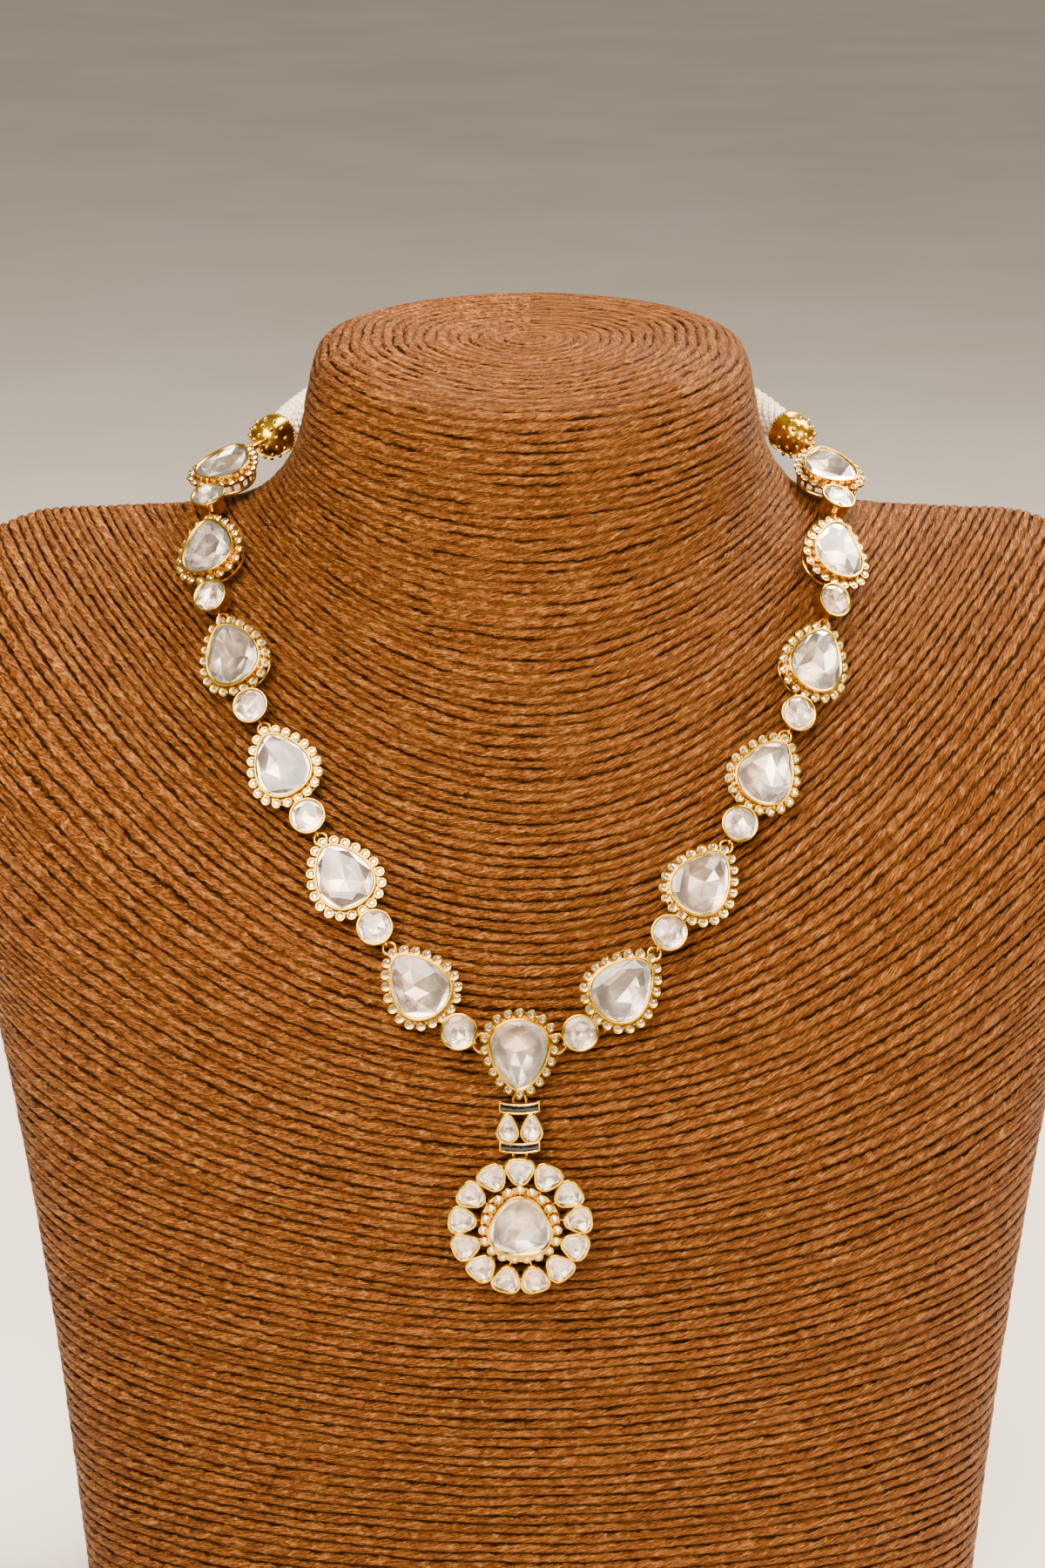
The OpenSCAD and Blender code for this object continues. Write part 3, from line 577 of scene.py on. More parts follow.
@dataclass
class Bust:
    """The neck bust's skin, read by section row and by swing from the front in degrees."""

    width: float = 280.0
    depth: float = 141.5
    height: float = 308.0

    def section(self, row: Array) -> Array:
        """Section shares at rows, smooth between the table's rows.

        Args:
            row: section rows.

        Returns:
            The table's columns at each row.
        """
        row = np.asarray(row, float)
        last = len(SECTIONS) - 1
        i = np.minimum(np.floor(row).astype(int), last - 1)
        return catmull_rom(SECTIONS[np.maximum(i - 1, 0)], SECTIONS[i], SECTIONS[i + 1],
                           SECTIONS[np.minimum(i + 2, last)], (row - i)[..., None])

    def skin(self, row: Array, swing: Array) -> Array:
        """Places on the skin.

        x = W a sin w, y = D (side + (deep - side) |cos w|^full) and
        z = H (side + (high - side) cos^2 w), deep and high being the front's or the back's.

        Args:
            row: section rows.
            swing: swings from the front in degrees.

        Returns:
            Points in millimetres, in the shape that row and swing broadcast to.
        """
        row, swing = np.broadcast_arrays(np.asarray(row, float), np.asarray(swing, float))
        c = self.section(row)
        cosine = np.cos(np.radians(swing))
        front = cosine > 0
        share = np.abs(cosine) ** c[..., Part.FULL]
        deep = np.where(front, c[..., Part.DEEP_FRONT], c[..., Part.DEEP_BACK])
        high = np.where(front, c[..., Part.HIGH_FRONT], c[..., Part.HIGH_BACK])
        side, top = c[..., Part.DEEP_SIDE], c[..., Part.HIGH_SIDE]
        return np.stack([self.width * c[..., Part.WIDE] * np.sin(np.radians(swing)),
                         self.depth * (side + (deep - side) * share),
                         self.height * (top + (high - top) * cosine**2)], axis=-1)

    def normal(self, row: Array, swing: Array, row_step: float = 0.02, swing_step: float = 0.5) -> Array:
        """Directions off the skin: the cross product of its steps down and round."""
        return unit(np.cross(self.skin(row + row_step, swing) - self.skin(row - row_step, swing),
                             self.skin(row, swing + swing_step) - self.skin(row, swing - swing_step)))


@dataclass
class Way:
    """A smooth line over the bust, read by its length. Each station is a place, a normal and a roll."""

    stations: Array
    steps: int = 12

    def __post_init__(self) -> None:
        """Fills in the places between the stations and their lengths."""
        s = self.stations
        i = np.arange(len(s) - 2)
        t = (np.arange(self.steps) / self.steps)[None, :, None]
        spans = [s[np.maximum(i - 1, 0)], s[i], s[i + 1], s[i + 2]]
        self.line = catmull_rom(*[p[:, None] for p in spans], t).reshape(-1, s.shape[1])
        self.length = lengths(self.line[:, :3])

    def at(self, s: float) -> Array:
        """Place, normal and roll at a length."""
        return np.array([np.interp(s, self.length, column) for column in self.line.T])

    def ahead(self, s: float, span: float) -> float:
        """Length at which the straight distance from the place at s is the span."""
        here = self.at(s)[:3]
        near = s + 2 * span - np.linalg.norm(self.at(s + span)[:3] - here)
        return near + span - np.linalg.norm(self.at(near)[:3] - here)

    def marks(self, spans: list[float]) -> list[float]:
        """Lengths at which a row of straight spans begin and end.

        Args:
            spans: the straight distances, in a row.

        Returns:
            The lengths, from 0.
        """
        marks = [0.0]
        for span in spans:
            marks.append(self.ahead(marks[-1], span))
        return marks


@dataclass
class Chain:
    """Sizes of the necklace and the frames of its links, worked out as in the part."""

    bust: Bust
    pear_w: float = 13.9
    pear_l: float = 16.5
    bezel_h: float = 3.0
    halo_count: int = 20
    halo_out: float = 1.05
    collet_r: float = 1.15
    collet_h: float = 1.0
    gem_r: float = 0.74
    wire_w: float = 0.75
    wire_h: float = 0.8
    plate_h: float = 0.5
    seat: float = 0.3
    round_d: float = 8.5
    round_h: float = 5.3
    rim_out: float = 0.85
    ring_wire: float = 0.35
    ring_r: float = 1.45
    centre_ring_r: float = 2.2
    end_ring_r: float = 1.6
    eye_wire: float = 0.3
    eye_play: float = 0.2
    eye_in: float = 0.95
    eye_stand: float = 0.3
    side_eye: float = 6.3
    side_rise: float = 15.0
    bail_eye: float = 5.0
    flower_eye: float = 15.4
    rope_r: float = 4.2
    cap_r: float = 5.0
    cap_l: float = 8.6
    shank_l: float = 4.2
    clasp_l: float = 14.0
    rope_in: float = 3.0

    def __post_init__(self) -> None:
        """Works out the heights over a link's back, the ways and the links' places along them."""
        ring_under, ring_over, gap = 0.45, 0.25, 0.1
        self.eye_h = self.wire_h + ring_under + self.ring_wire
        self.plate_z = self.eye_h + self.ring_wire + ring_over
        self.eye_r = self.ring_wire + self.eye_wire + self.eye_play
        self.bezel_top = self.plate_z + self.bezel_h
        self.collet_z = self.eye_h + self.eye_r + self.eye_wire + gap
        self.neck_r = self.round_d / 2 - self.rim_out
        self.round_eye = self.neck_r + self.eye_wire + self.eye_stand
        self.drop = Way(self.stations(DROP_WAY, 1))
        tip = self.tip_eye(CENTRE_SHAPE)
        marks = self.drop.marks([tip, 2 * self.ring_r, 2 * self.bail_eye, 2 * self.ring_r,
                                 2 * self.flower_eye])
        self.centre = self.link(self.drop, 0, marks[1], 0, 1)
        self.bail = self.link(self.drop, marks[2], marks[3], self.bail_eye, 1)
        self.flower = self.link(self.drop, marks[4], marks[5], self.flower_eye, 1)
        self.ways = {side: self.side_way(side) for side in Side}
        self.marks = {side: self.ways[side].marks(self.spans(side)) for side in Side}

    def stations(self, way: Array, side: int) -> Array:
        """Stations of a way's table: the skin's place lifted off by seat + eye height + lift.

        Args:
            way: rows of section row, swing, lift and roll.
            side: sign of the swings.

        Returns:
            Rows of place, normal and roll.
        """
        row, swing, lift, roll = way.T
        normal = self.bust.normal(row, side * swing)
        place = self.bust.skin(row, side * swing) + (self.seat + self.eye_h + lift)[:, None] * normal
        return np.concatenate([place, normal, roll[:, None]], axis=1)

    def side_way(self, side: Side) -> Way:
        """The way of one side, which starts at the centre link's side eye.

        Args:
            side: which side.

        Returns:
            The way.
        """
        rise = math.radians(self.side_rise)
        start = self.centre.spot([-side.sign * self.side_eye * math.cos(rise),
                                  -self.side_eye * math.sin(rise), self.eye_h])
        first = np.concatenate([start, self.centre.z, [0]])
        table = LEFT_WAY if side is Side.LEFT else RIGHT_WAY
        return Way(np.vstack([first, self.stations(table, side.sign)]))

    def shapes(self, side: Side) -> tuple[tuple[float, float, float], ...]:
        """Pear shapes of one side."""
        return LEFT_SHAPES if side is Side.LEFT else RIGHT_SHAPES

    def tip_eye(self, shape: tuple[float, float, float]) -> float:
        """Distance from a pear's middle to the eye at its tip."""
        return self.pear_l * shape[1] / 2 + self.halo_out

    def blunt_eye(self, shape: tuple[float, float, float]) -> float:
        """Distance from a pear's middle to the eye under its blunt end."""
        return self.pear_l * shape[1] / 2 - self.eye_in

    def spans(self, side: Side) -> list[float]:
        """Straight distances between the eyes of one side, from the centre link to the cap.

        Args:
            side: which side.

        Returns:
            The distances, in a row.
        """
        spans, shapes = [2 * self.centre_ring_r], self.shapes(side)
        for i, shape in enumerate(shapes):
            last = i == len(shapes) - 1
            spans += [2 * self.round_eye, 2 * self.ring_r, self.tip_eye(shape) + self.blunt_eye(shape),
                      2 * (self.end_ring_r if last else self.ring_r)]
        return spans + [self.shank_l + self.cap_l - self.rope_in]

    def link(self, way: Way, near: float, far: float, near_eye: float, side: int) -> Frame:
        """Frame of a link between two lengths of a way, its origin on the link's back."""
        a, b = way.at(near), way.at(far)
        frame = Frame.along(a[:3], b[:3] - a[:3], a[3:6] + b[3:6], (a[6] + b[6]) / 2, side)
        return frame.at([0, near_eye, -self.eye_h])

    def round_link(self, side: Side, i: int) -> Frame:
        """Frame of a round link, counted from 1 at the centre."""
        m = self.marks[side]
        return self.link(self.ways[side], m[4 * i - 3], m[4 * i - 2], self.round_eye, side.sign)

    def pear_link(self, side: Side, i: int) -> Frame:
        """Frame of a pear link, counted from 1 at the centre."""
        m = self.marks[side]
        blunt = self.blunt_eye(self.shapes(side)[i - 1])
        return self.link(self.ways[side], m[4 * i - 1], m[4 * i], blunt, side.sign)

    def cap(self, side: Side) -> Frame:
        """Frame of a cap, its origin in its eye.

        Args:
            side: which side.

        Returns:
            The frame.
        """
        m = self.marks[side]
        last = 4 * len(self.shapes(side))
        frame = self.link(self.ways[side], m[last + 1], m[last + 2], 0, side.sign)
        return frame.at([0, 0, self.eye_h])

    def eyes(self, places: list[tuple[float, float, float]]) -> Shell:
        """Eyes for the rings, each one at (x, y) and turned in the link's plane by an angle.

        Args:
            places: a row (x, y, angle in degrees) for each eye.

        Returns:
            The eyes as one shell.
        """
        out = []
        for x, y, turn in places:
            sine, cosine = math.sin(math.radians(turn)), math.cos(math.radians(turn))
            frame = Frame.of([x, y, self.eye_h], [-sine, cosine, 0], UP)
            out.append(torus(self.eye_r, self.eye_wire).put(frame))
        return joined(out)

    def clasp(self) -> Array:
        """Middle of the clasp, the left way's last place."""
        return self.ways[Side.LEFT].line[-1, :3]

    def rope(self, side: Side, stops: int = 15, away: float = 7.0) -> Array:
        """The rope's middle line: out of the cap, round the neck and into the clasp.

        Args:
            side: which side.
            stops: count of spans round the neck.
            away: length left free at both ends for the bends.

        Returns:
            The line's places.
        """
        frame, way, x = self.cap(side), self.ways[side], side.sign * self.clasp_l / 2
        mouth = self.shank_l + self.cap_l
        start = self.marks[side][4 * len(self.shapes(side)) + 2] + self.rope_in + away
        end = way.length[-1] - self.clasp_l / 2 - away
        middle = [way.at(s)[:3] for s in np.linspace(start, end, stops + 1)]
        clasp = self.clasp()
        return np.array([frame.spot([0, mouth - self.rope_in, 0]), frame.spot([0, mouth + 1, 0]), *middle,
                         clasp + [x + side.sign, 0, 0], clasp + [x - side.sign * self.rope_in, 0, 0]])


@dataclass
class CordWrap:
    """Twisted paper cord wound round the bust, row by row from the neck's top to the base."""

    bust: Bust
    pitch: float = 2.5
    samples: int = 6
    front_columns: int = 84
    back_columns: int = 34
    side_front: int = 28
    side_back: int = 14
    depth: float = 1.05
    crest: float = -0.22
    roundness: float = 2.4
    wanders: tuple[tuple[float, float, float, int], ...] = ((0.15, 13.0, 0.9, 1), (0.12, 37.0, 0.4, 2))
    level: float = 0.13
    thin_share: float = 0.72
    wedge_spread: tuple[float, float] = (1.3, 1.55)
    neck_row: float = 8.6
    neck_fade: float = 1.2
    bands: tuple[tuple[str, float, float], ...] = (
        ("wrap_neck", 0.0, 0.37), ("wrap_shoulders", 0.37, 0.60), ("wrap_breast", 0.60, 0.80),
        ("wrap_base", 0.80, 1.0))

    def lines(self) -> tuple[Array, Array]:
        """Section rows of the skin's lines and their phase, a whole number for each cord.

        The phase is the length of the front's middle line over the cord's pitch.

        Returns:
            The section rows and the phases, both from the neck's top to the base.
        """
        row = np.linspace(0, len(SECTIONS) - 1, 4000)
        phase = lengths(self.bust.skin(row, 0)) / self.pitch
        count = int(phase[-1] * self.samples) * 2 + 1
        wanted = np.linspace(0, phase[-1], count)
        return np.interp(wanted, phase, row), wanted

    def swings(self, row: Array) -> Array:
        """Swings of the columns in each line, at equal lengths within the front and the back.

        Args:
            row: section rows of the lines.

        Returns:
            An array of a line's swings for each row, from the back's middle round to it again.
        """
        fine = np.linspace(0, 90, 121)
        out = []
        for start, columns in ((0, self.front_columns), (90, self.back_columns)):
            length = lengths(self.bust.skin(row[:, None], (fine + start)[None]), least=1e-6)
            share = length / length[:, -1:]
            wanted = np.arange(columns) / columns
            out.append(np.stack([np.interp(wanted, s, fine + start) for s in share]))
        half = np.concatenate([out[0], out[1], np.full((len(row), 1), 180.0)], axis=1)
        return np.concatenate([-half[:, :0:-1], half], axis=1)

    def relief(self, phase: Array, along: Array, spread: Array, neck: Array) -> tuple[Array, ...]:
        """Height of the wrapped skin over the smooth one, in millimetres.

        A cord's back is (1 - |2f - 1|^roundness)^0.5 over its own share f of the phase. Each of the
        rows' wanders is a height, a length along them, a rate over the rows and a seed. Where the rows
        spread, cords of half the pitch take over in wedges, as a wrapper adds rows there.

        Args:
            phase: count of rows from the neck's top.
            along: length along the row from the front's middle.
            spread: distance between rows over the pitch.
            neck: 1 on the neck and 0 below it, where the gaps between the rows stay open.

        Returns:
            Heights, negative below the smooth skin, then the phase with the rows' wandering, how
            open the gaps are and how far the cords of half the pitch have taken over.
        """
        wandered = phase + sum(height * soft_noise(along / length, phase * rate, seed)
                               for height, length, rate, seed in self.wanders)

        def cord(p: Array, seed: int) -> tuple[Array, Array]:
            """Cords of one phase.

            Args:
                p: the phase.
                seed: picks the random values.

            Returns:
                Their height, less the depth of their gaps, and how open those are.
            """
            back = np.sqrt(np.clip(1 - np.abs(2 * (p - np.floor(p)) - 1) ** self.roundness, 0, 1))
            gap = soft_noise(along / 5.5, np.floor(p + 0.5) * 1.73, seed)
            open_gap = np.clip(0.9 + 0.35 * gap - neck * (0.3 - 0.5 * gap), 0.05, 1.2)
            level = self.level * soft_noise(along / 17, np.floor(p) * 2.31, seed + 1)
            return level - self.depth * (1 - back) * open_gap, open_gap

        single, open_single = cord(wandered, 5)
        double, open_double = cord(2 * wandered, 9)
        wedge = smooth_step(*self.wedge_spread, spread + 0.22 * soft_noise(along / 9, phase * 0.7, 3))
        height = self.crest + single * (1 - wedge) + self.thin_share * double * wedge
        return height, wandered, open_single * (1 - wedge) + open_double * wedge, wedge

    def shells(self) -> list[tuple[str, Shell, list[Array], dict[str, Array]]]:
        """The wrapped skin, cut into bands that are each closed.

        Returns:
            For each band its name, its shell, the cord coordinates of its faces' corners and its
            points' values: how open the gaps are and where the thinner cords take over.
        """
        row, phase = self.lines()
        swing = self.swings(row)
        place = self.bust.skin(row[:, None], swing)
        down, round_ = np.gradient(place, axis=0), np.gradient(place, axis=1)
        normal = unit(np.cross(down, round_))
        normal[0] = [0, 0, 1]
        middle = place.shape[1] // 2
        length = lengths(place)
        along = length - length[:, middle:middle + 1]
        area = np.linalg.norm(np.cross(down, round_), axis=2)
        spread = area / np.maximum(np.linalg.norm(round_, axis=2), 1e-6) / (phase[1] * self.pitch)
        turned = phase[:, None] + swing / 360 + 0.5
        fade = self.neck_fade
        neck = 1 - smooth_step(self.neck_row - fade, self.neck_row + fade, row)[:, None]
        height, wandered, open_gap, wedge = self.relief(turned, along, spread, neck)
        height[:, -1] = height[:, 0]
        skin = place + height[..., None] * normal
        skin[..., 2] = np.maximum(skin[..., 2], 0)
        skin[-1, :, 2] = 0
        cord_place = np.stack([along, wandered], axis=-1)
        # open sets how deep the gaps are cut and how dark the painted shade in them is.
        values = np.stack([open_gap, wedge], axis=-1)
        return [self.band(name, skin, cord_place, values, low, high) for name, low, high in self.bands]

    def band(self, name: str, skin: Array, cord_place: Array, values: Array, low: float,
             high: float) -> tuple[str, Shell, list[Array], dict[str, Array]]:
        """One closed band of the wrapped skin.

        Columns at the sides keep every line of points, the others every second one, and a face
        with a fifth corner joins the two kinds.

        Args:
            name: the band's name.
            skin, cord_place, values: the whole skin's points, cord coordinates and values.
            low, high: share of the lines at which the band begins and ends.

        Returns:
            The band's name, shell, corner coordinates and point values.
        """
        lines, columns = skin.shape[0], skin.shape[1] - 1
        first = max(2 * round(low * (lines - 1) / 2), 2)
        last = 2 * round(high * (lines - 1) / 2)
        j = np.arange(columns + 1)
        from_front = np.abs(j - columns // 2)
        dense = ((from_front >= self.front_columns - self.side_front)
                 & (from_front <= self.front_columns + self.side_back) & (high > self.bands[0][2]))
        k = np.arange(first, last, 2)
        kinds = {(a, b): np.flatnonzero((dense[:-1] == a) & (dense[1:] == b))
                 for a in (False, True) for b in (False, True)}
        offsets = {
            (False, False): [[(0, 0), (0, 1), (2, 1), (2, 0)]],
            (True, True): [[(0, 0), (0, 1), (1, 1), (1, 0)], [(1, 0), (1, 1), (2, 1), (2, 0)]],
            (False, True): [[(0, 0), (0, 1), (1, 1), (2, 1), (2, 0)]],
            (True, False): [[(0, 0), (0, 1), (2, 1), (2, 0), (1, 0)]],
        }
        corners = []
        for kind, found in kinds.items():
            for shape in offsets[kind]:
                rows = np.stack([k[:, None] + dk + 0 * found for dk, _ in shape], axis=-1)
                cols = np.stack([found + dj + 0 * k[:, None] for _, dj in shape], axis=-1)
                corners.append((rows.reshape(-1, len(shape)), cols.reshape(-1, len(shape))))
        used = np.zeros(skin.shape[:2], bool)
        for rows, cols in corners:
            used[rows, cols % columns] = True
        number = np.cumsum(used.ravel()).reshape(used.shape) - 1
        points, kept = skin[used], values[used]
        faces = [number[rows, cols % columns] for rows, cols in corners]
        places = [cord_place[rows, cols] for rows, cols in corners]
        for line, turn in ((first, 1), (last, -1)):
            ring = number[line, np.flatnonzero(used[line])]
            hub = len(points)
            points = np.vstack([points, skin[line, used[line]].mean(axis=0)])
            kept = np.vstack([kept, kept[ring].mean(axis=0)])
            fan = np.stack([np.full(len(ring), hub), np.roll(ring, -1), ring], axis=-1)[:, ::turn]
            faces.append(fan)
            places.append(np.zeros(fan.shape + (2,)))
        shell = Shell(points, faces)
        if shell.volume() < 0:
            shell.faces = [block[:, ::-1] for block in shell.faces]
            places = [block[:, ::-1] for block in places]
        return name, shell, places, {"open": kept[:, 0], "wedge": kept[:, 1]}


@dataclass
class Setting:
    """Gold of a stone's setting: its bezel, the foot band with its grains and the plate under it."""

    chain: Chain
    outline: Outline
    top: float
    sides: int = 56
    foot_out: float = 0.36
    grains: int = 44
    grain_r: float = 0.3
    grain_out: float = 0.22
    peg_r: float = 0.2
    peg_l: float = 1.1
    plate: tuple[float, float] = (-1.0, 0.3)

    def bezel(self, low: float, lip: float = 0.62) -> Shell:
        """The raised bezel, its lip rolled in over the stone.

        Args:
            low: height of its foot.
            lip: how far the lip reaches in.

        Returns:
            A closed shell.
        """
        top = self.top
        return band(self.outline, [
            (0.00, low), (-0.02, low + 0.5), (-0.03, top - 0.9), (0.03, top - 0.45),
            (0.08, top - 0.2), (0.05, top - 0.03), (-0.06, top + 0.06), (-0.24, top + 0.09),
            (-0.44, top + 0.04), (-lip, top - 0.14), (-lip + 0.02, top - 0.5), (-0.5, low)], self.sides)

    def foot(self, low: float) -> Shell:
        """The band at the bezel's foot and the row of grains soldered along it.

        Args:
            low: height of the band's foot.

        Returns:
            The band and its grains.
        """
        out, inner = self.foot_out, -0.2
        ledge = band(self.outline, [
            (inner, low), (out, low), (out + 0.08, low + 0.2), (out, low + 0.42), (inner, low + 0.5)],
            self.sides)
        row = self.outline.evenly(self.grain_out, self.grains)
        return joined([ledge, ball(self.grain_r).repeated(with_height(row, low + 0.62))])

    def collets(self, places: Array, low: float, height: float) -> Shell:
        """The halo's small collets, each one a tapered cup with a rolled rim.

        Args:
            places: a row (x, y) for each collet.
            low: height of their feet.
            height: their height.

        Returns:
            The collets as one shell.
        """
        r, top = self.chain.collet_r, low + height
        cup = lathe([(0, low - 0.1), (0.42, low - 0.1), (0.66, low + 0.05), (0.98, low + 0.5),
                     (r - 0.03, top - 0.2), (r, top - 0.04), (r - 0.08, top + 0.05),
                     (r - 0.24, top + 0.03), (r - 0.32, top - 0.12), (0, top - 0.3)], 16)
        return cup.repeated(with_height(places, 0.0))

    def pegs(self, places: Array, z: float) -> Shell:
        """Short wires from each collet in to the foot band."""
        return joined([pipe(with_height(np.array([p, p + self.peg_l * d]), z), self.peg_r, 6, UP)
                       for p, d in zip(places, unit(-places))])

    def back(self) -> Shell:
        """The pierced plate that the bezel stands on."""
        z = self.chain.plate_z
        return flat_ring(self.outline, *self.plate, z, z + self.chain.plate_h, self.sides)

    def haloed(self, places: Array, rise: float = 0.0) -> list[Shell]:
        """The bezel with its foot and with a halo of collets on their pegs, raised by rise."""
        c = self.chain
        return [self.bezel(c.plate_z + 0.15), self.foot(c.collet_z - 0.15),
                self.collets(places, c.collet_z, c.collet_h + rise), self.pegs(places, c.collet_z + 0.15)]


@dataclass
class PearMount:
    """The gold of a pear link: bezel, halo, pierced gallery, base wire and eyes."""

    chain: Chain
    shape: tuple[float, float, float]
    gallery_in: float = 0.32
    post_w: float = 0.84
    open_degrees: float = 24.0

    def __post_init__(self) -> None:
        """Works out the link's own outline and the places of its halo."""
        c = self.chain
        self.outline = PearOutline(c.pear_w * self.shape[0], c.pear_l * self.shape[1], self.shape[2])
        self.setting = Setting(c, self.outline, c.bezel_top)
        self.halo = self.outline.evenly(c.halo_out, c.halo_count)

    def gallery(self, open_at: list[float]) -> Shell:
        """Base wire, pierced wall and plate. Posts stand under the collets, but not at the eyes.

        Args:
            open_at: angles from +Y, in degrees, at which the wall is left open for a ring.

        Returns:
            The gallery's shell.
        """
        c = self.chain
        low, high, wall = c.wire_h - 0.1, c.collet_z + 0.3, self.gallery_in / 2
        middle, sides = c.wire_w / 2, self.setting.sides
        shoulder = band(self.outline, [
            (middle - wall, high - 0.55), (middle + wall, high - 0.5),
            (middle + wall, high), (middle - wall, high)], sides)
        feet = self.outline.evenly(middle, c.halo_count)
        turned = np.degrees(np.arctan2(feet[:, 0], feet[:, 1]))
        keep = np.all([np.abs((turned - a + 180) % 360 - 180) > self.open_degrees for a in open_at], axis=0)
        along = unit(np.roll(feet, -1, axis=0) - np.roll(feet, 1, axis=0))
        across = np.stack([along[:, 1], -along[:, 0]], axis=-1)
        posts = []
        for p, t, n in zip(feet[keep], along[keep], across[keep]):
            corners = np.array([p + self.post_w / 2 * a * t + wall * b * n for a, b in
                                ((-1, -1), (1, -1), (1, 1), (-1, 1))])
            points = np.vstack([with_height(corners, low), with_height(corners, high - 0.2)])
            posts.append(Shell(points, tube_faces(2, 4, False)).outward())
        base = wire_ring(self.outline, 0, c.wire_w, c.wire_h, sides)
        return joined([base, shoulder, self.setting.back(), *posts])

    def shell(self, eyes: list[tuple[float, float, float]]) -> Shell:
        """The whole mount in its link's frame."""
        open_at = [math.degrees(math.atan2(x, y)) for x, y, _ in eyes]
        return joined([*self.setting.haloed(self.halo), self.gallery(open_at), self.chain.eyes(eyes)])


# Painted reflection and shade on the foil: tints under a facet, peach ones as painted reflection of
# the brown cord and greyer ones, with the shares of facets that have them; then painted shade, how far
# a facet is dimmed, with its shares; and the peach of painted reflection at the back's point.
FACET_REFLECTION_TINTS = np.array([[1.0, 0.96, 0.88], [0.97, 0.96, 0.95], [1.0, 0.84, 0.7], [0.9, 0.82, 0.75]])
FACET_REFLECTION_SHARES = (0.4, 0.22, 0.22, 0.16)
PAINTED_FACET_SHADES = (1.0, 0.97, 0.9, 0.8)
PAINTED_FACET_SHADE_SHARES = (0.4, 0.25, 0.2, 0.15)
POINT_REFLECTION_TINT = (1.0, 0.8, 0.66)


@dataclass
class StoneCutter:
    """Cuts an uneven flat stone over silvered foil: a clear crown and a bright faceted back.

    The crown runs in narrow facets from the girdle up to a ring, and from there in a few broad
    ones to a low point off the middle. The back runs down from the girdle in fans of facets to a
    ring of a few corners, and on to a point of its own. The back's corners carry painted reflection
    and shade as tints. The pairs are the limits of random draws.
    """

    outline: Outline
    grow: float
    floor: float
    girdle: float
    table: float
    share: float
    facets: int
    per_facet: int
    seed: int
    drift: float = 0.1
    face_stretch: tuple[float, float] = (-0.07, 0.05)
    face_drop: tuple[float, float] = (0.25, 0.5)
    back_share: tuple[float, float] = (0.4, 0.62)
    back_rise: tuple[float, float] = (0.08, 0.42)

    def fan(self, ring: int, edge: int) -> Array:
        """Triangles between a ring with a corner for each facet and the edge.

        Args:
            ring: first point of the ring.
            edge: first point of the edge.

        Returns:
            The triangles' corners.
        """
        m, k = self.facets, self.per_facet
        n = m * k
        j, e = np.arange(m), np.arange(n)
        wide = np.stack([ring + j, ring + (j + 1) % m, edge + (j * k + k // 2) % n], axis=-1)
        owner = ((e + k - k // 2) // k) % m
        thin = np.stack([ring + owner, edge + (e + 1) % n, edge + e], axis=-1)
        return np.concatenate([wide, thin[:, ::-1]])

    def shell(self) -> Shell:
        """The stone, with finish 0 on its crown and finish 1 on its foiled back.

        Returns:
            A closed shell.
        """
        rng = np.random.default_rng(self.seed)
        m, n = self.facets, self.facets * self.per_facet
        edge = self.outline.at(np.float64(self.grow), rng.uniform(0, 2 * np.pi) + turns(n))
        drift = rng.uniform(-self.drift, self.drift, (2, 2)) * np.abs(edge).max()
        low, high = with_height(edge, self.girdle - 0.12), with_height(edge, self.girdle)
        corner = edge[::self.per_facet]
        rise, depth = self.table - self.girdle, self.girdle - self.floor
        stretch = 1 + rng.uniform(*self.face_stretch, (m, 1))
        face = np.concatenate([corner * self.share * stretch + 0.4 * drift[0],
                               (self.table - rise * rng.uniform(*self.face_drop, m))[:, None]], axis=1)
        apex = np.array([[*drift[0], self.table]])
        inner = corner * rng.uniform(*self.back_share, (m, 1)) + drift[1]
        height = self.floor + depth * rng.uniform(*self.back_rise, m)
        ring = np.concatenate([inner, height[:, None]], axis=1)
        point = np.array([[*(1.3 * drift[1]), self.floor + 0.1 * depth]])
        points = np.concatenate([point, ring, low, high, face, apex])
        j, e = np.arange(m), np.arange(n)
        at_ring, at_low, at_high, at_face, at_apex = np.cumsum([1, m, n, n, m])
        culet = np.stack([0 * j, at_ring + (j + 1) % m, at_ring + j], axis=-1)
        back = np.concatenate([culet, self.fan(at_ring, at_low)])
        side = np.stack([at_low + e, at_low + (e + 1) % n, at_high + (e + 1) % n, at_high + e], axis=-1)
        crown = self.fan(at_face, at_high)[:, ::-1]
        top = np.stack([at_face + j, at_face + (j + 1) % m, np.full(m, at_apex)], axis=-1)
        # Painted reflection and shade: peach at the back's point, reflection tints at the ring's corners and
        # random dimming of the back's facets.
        shade = np.ones((len(points), 3))
        shade[0] = POINT_REFLECTION_TINT
        shade[at_ring:at_low] = FACET_REFLECTION_TINTS[rng.choice(len(FACET_REFLECTION_TINTS), m, p=FACET_REFLECTION_SHARES)]
        tints = [shade[block] for block in (back, side, crown, top)]
        tints[0][:2 * m] *= rng.choice(PAINTED_FACET_SHADES, (2 * m, 1, 1), p=PAINTED_FACET_SHADE_SHARES)
        return Shell(points, [back, side, crown, top], [1, 0, 0, 0], tints).outward()


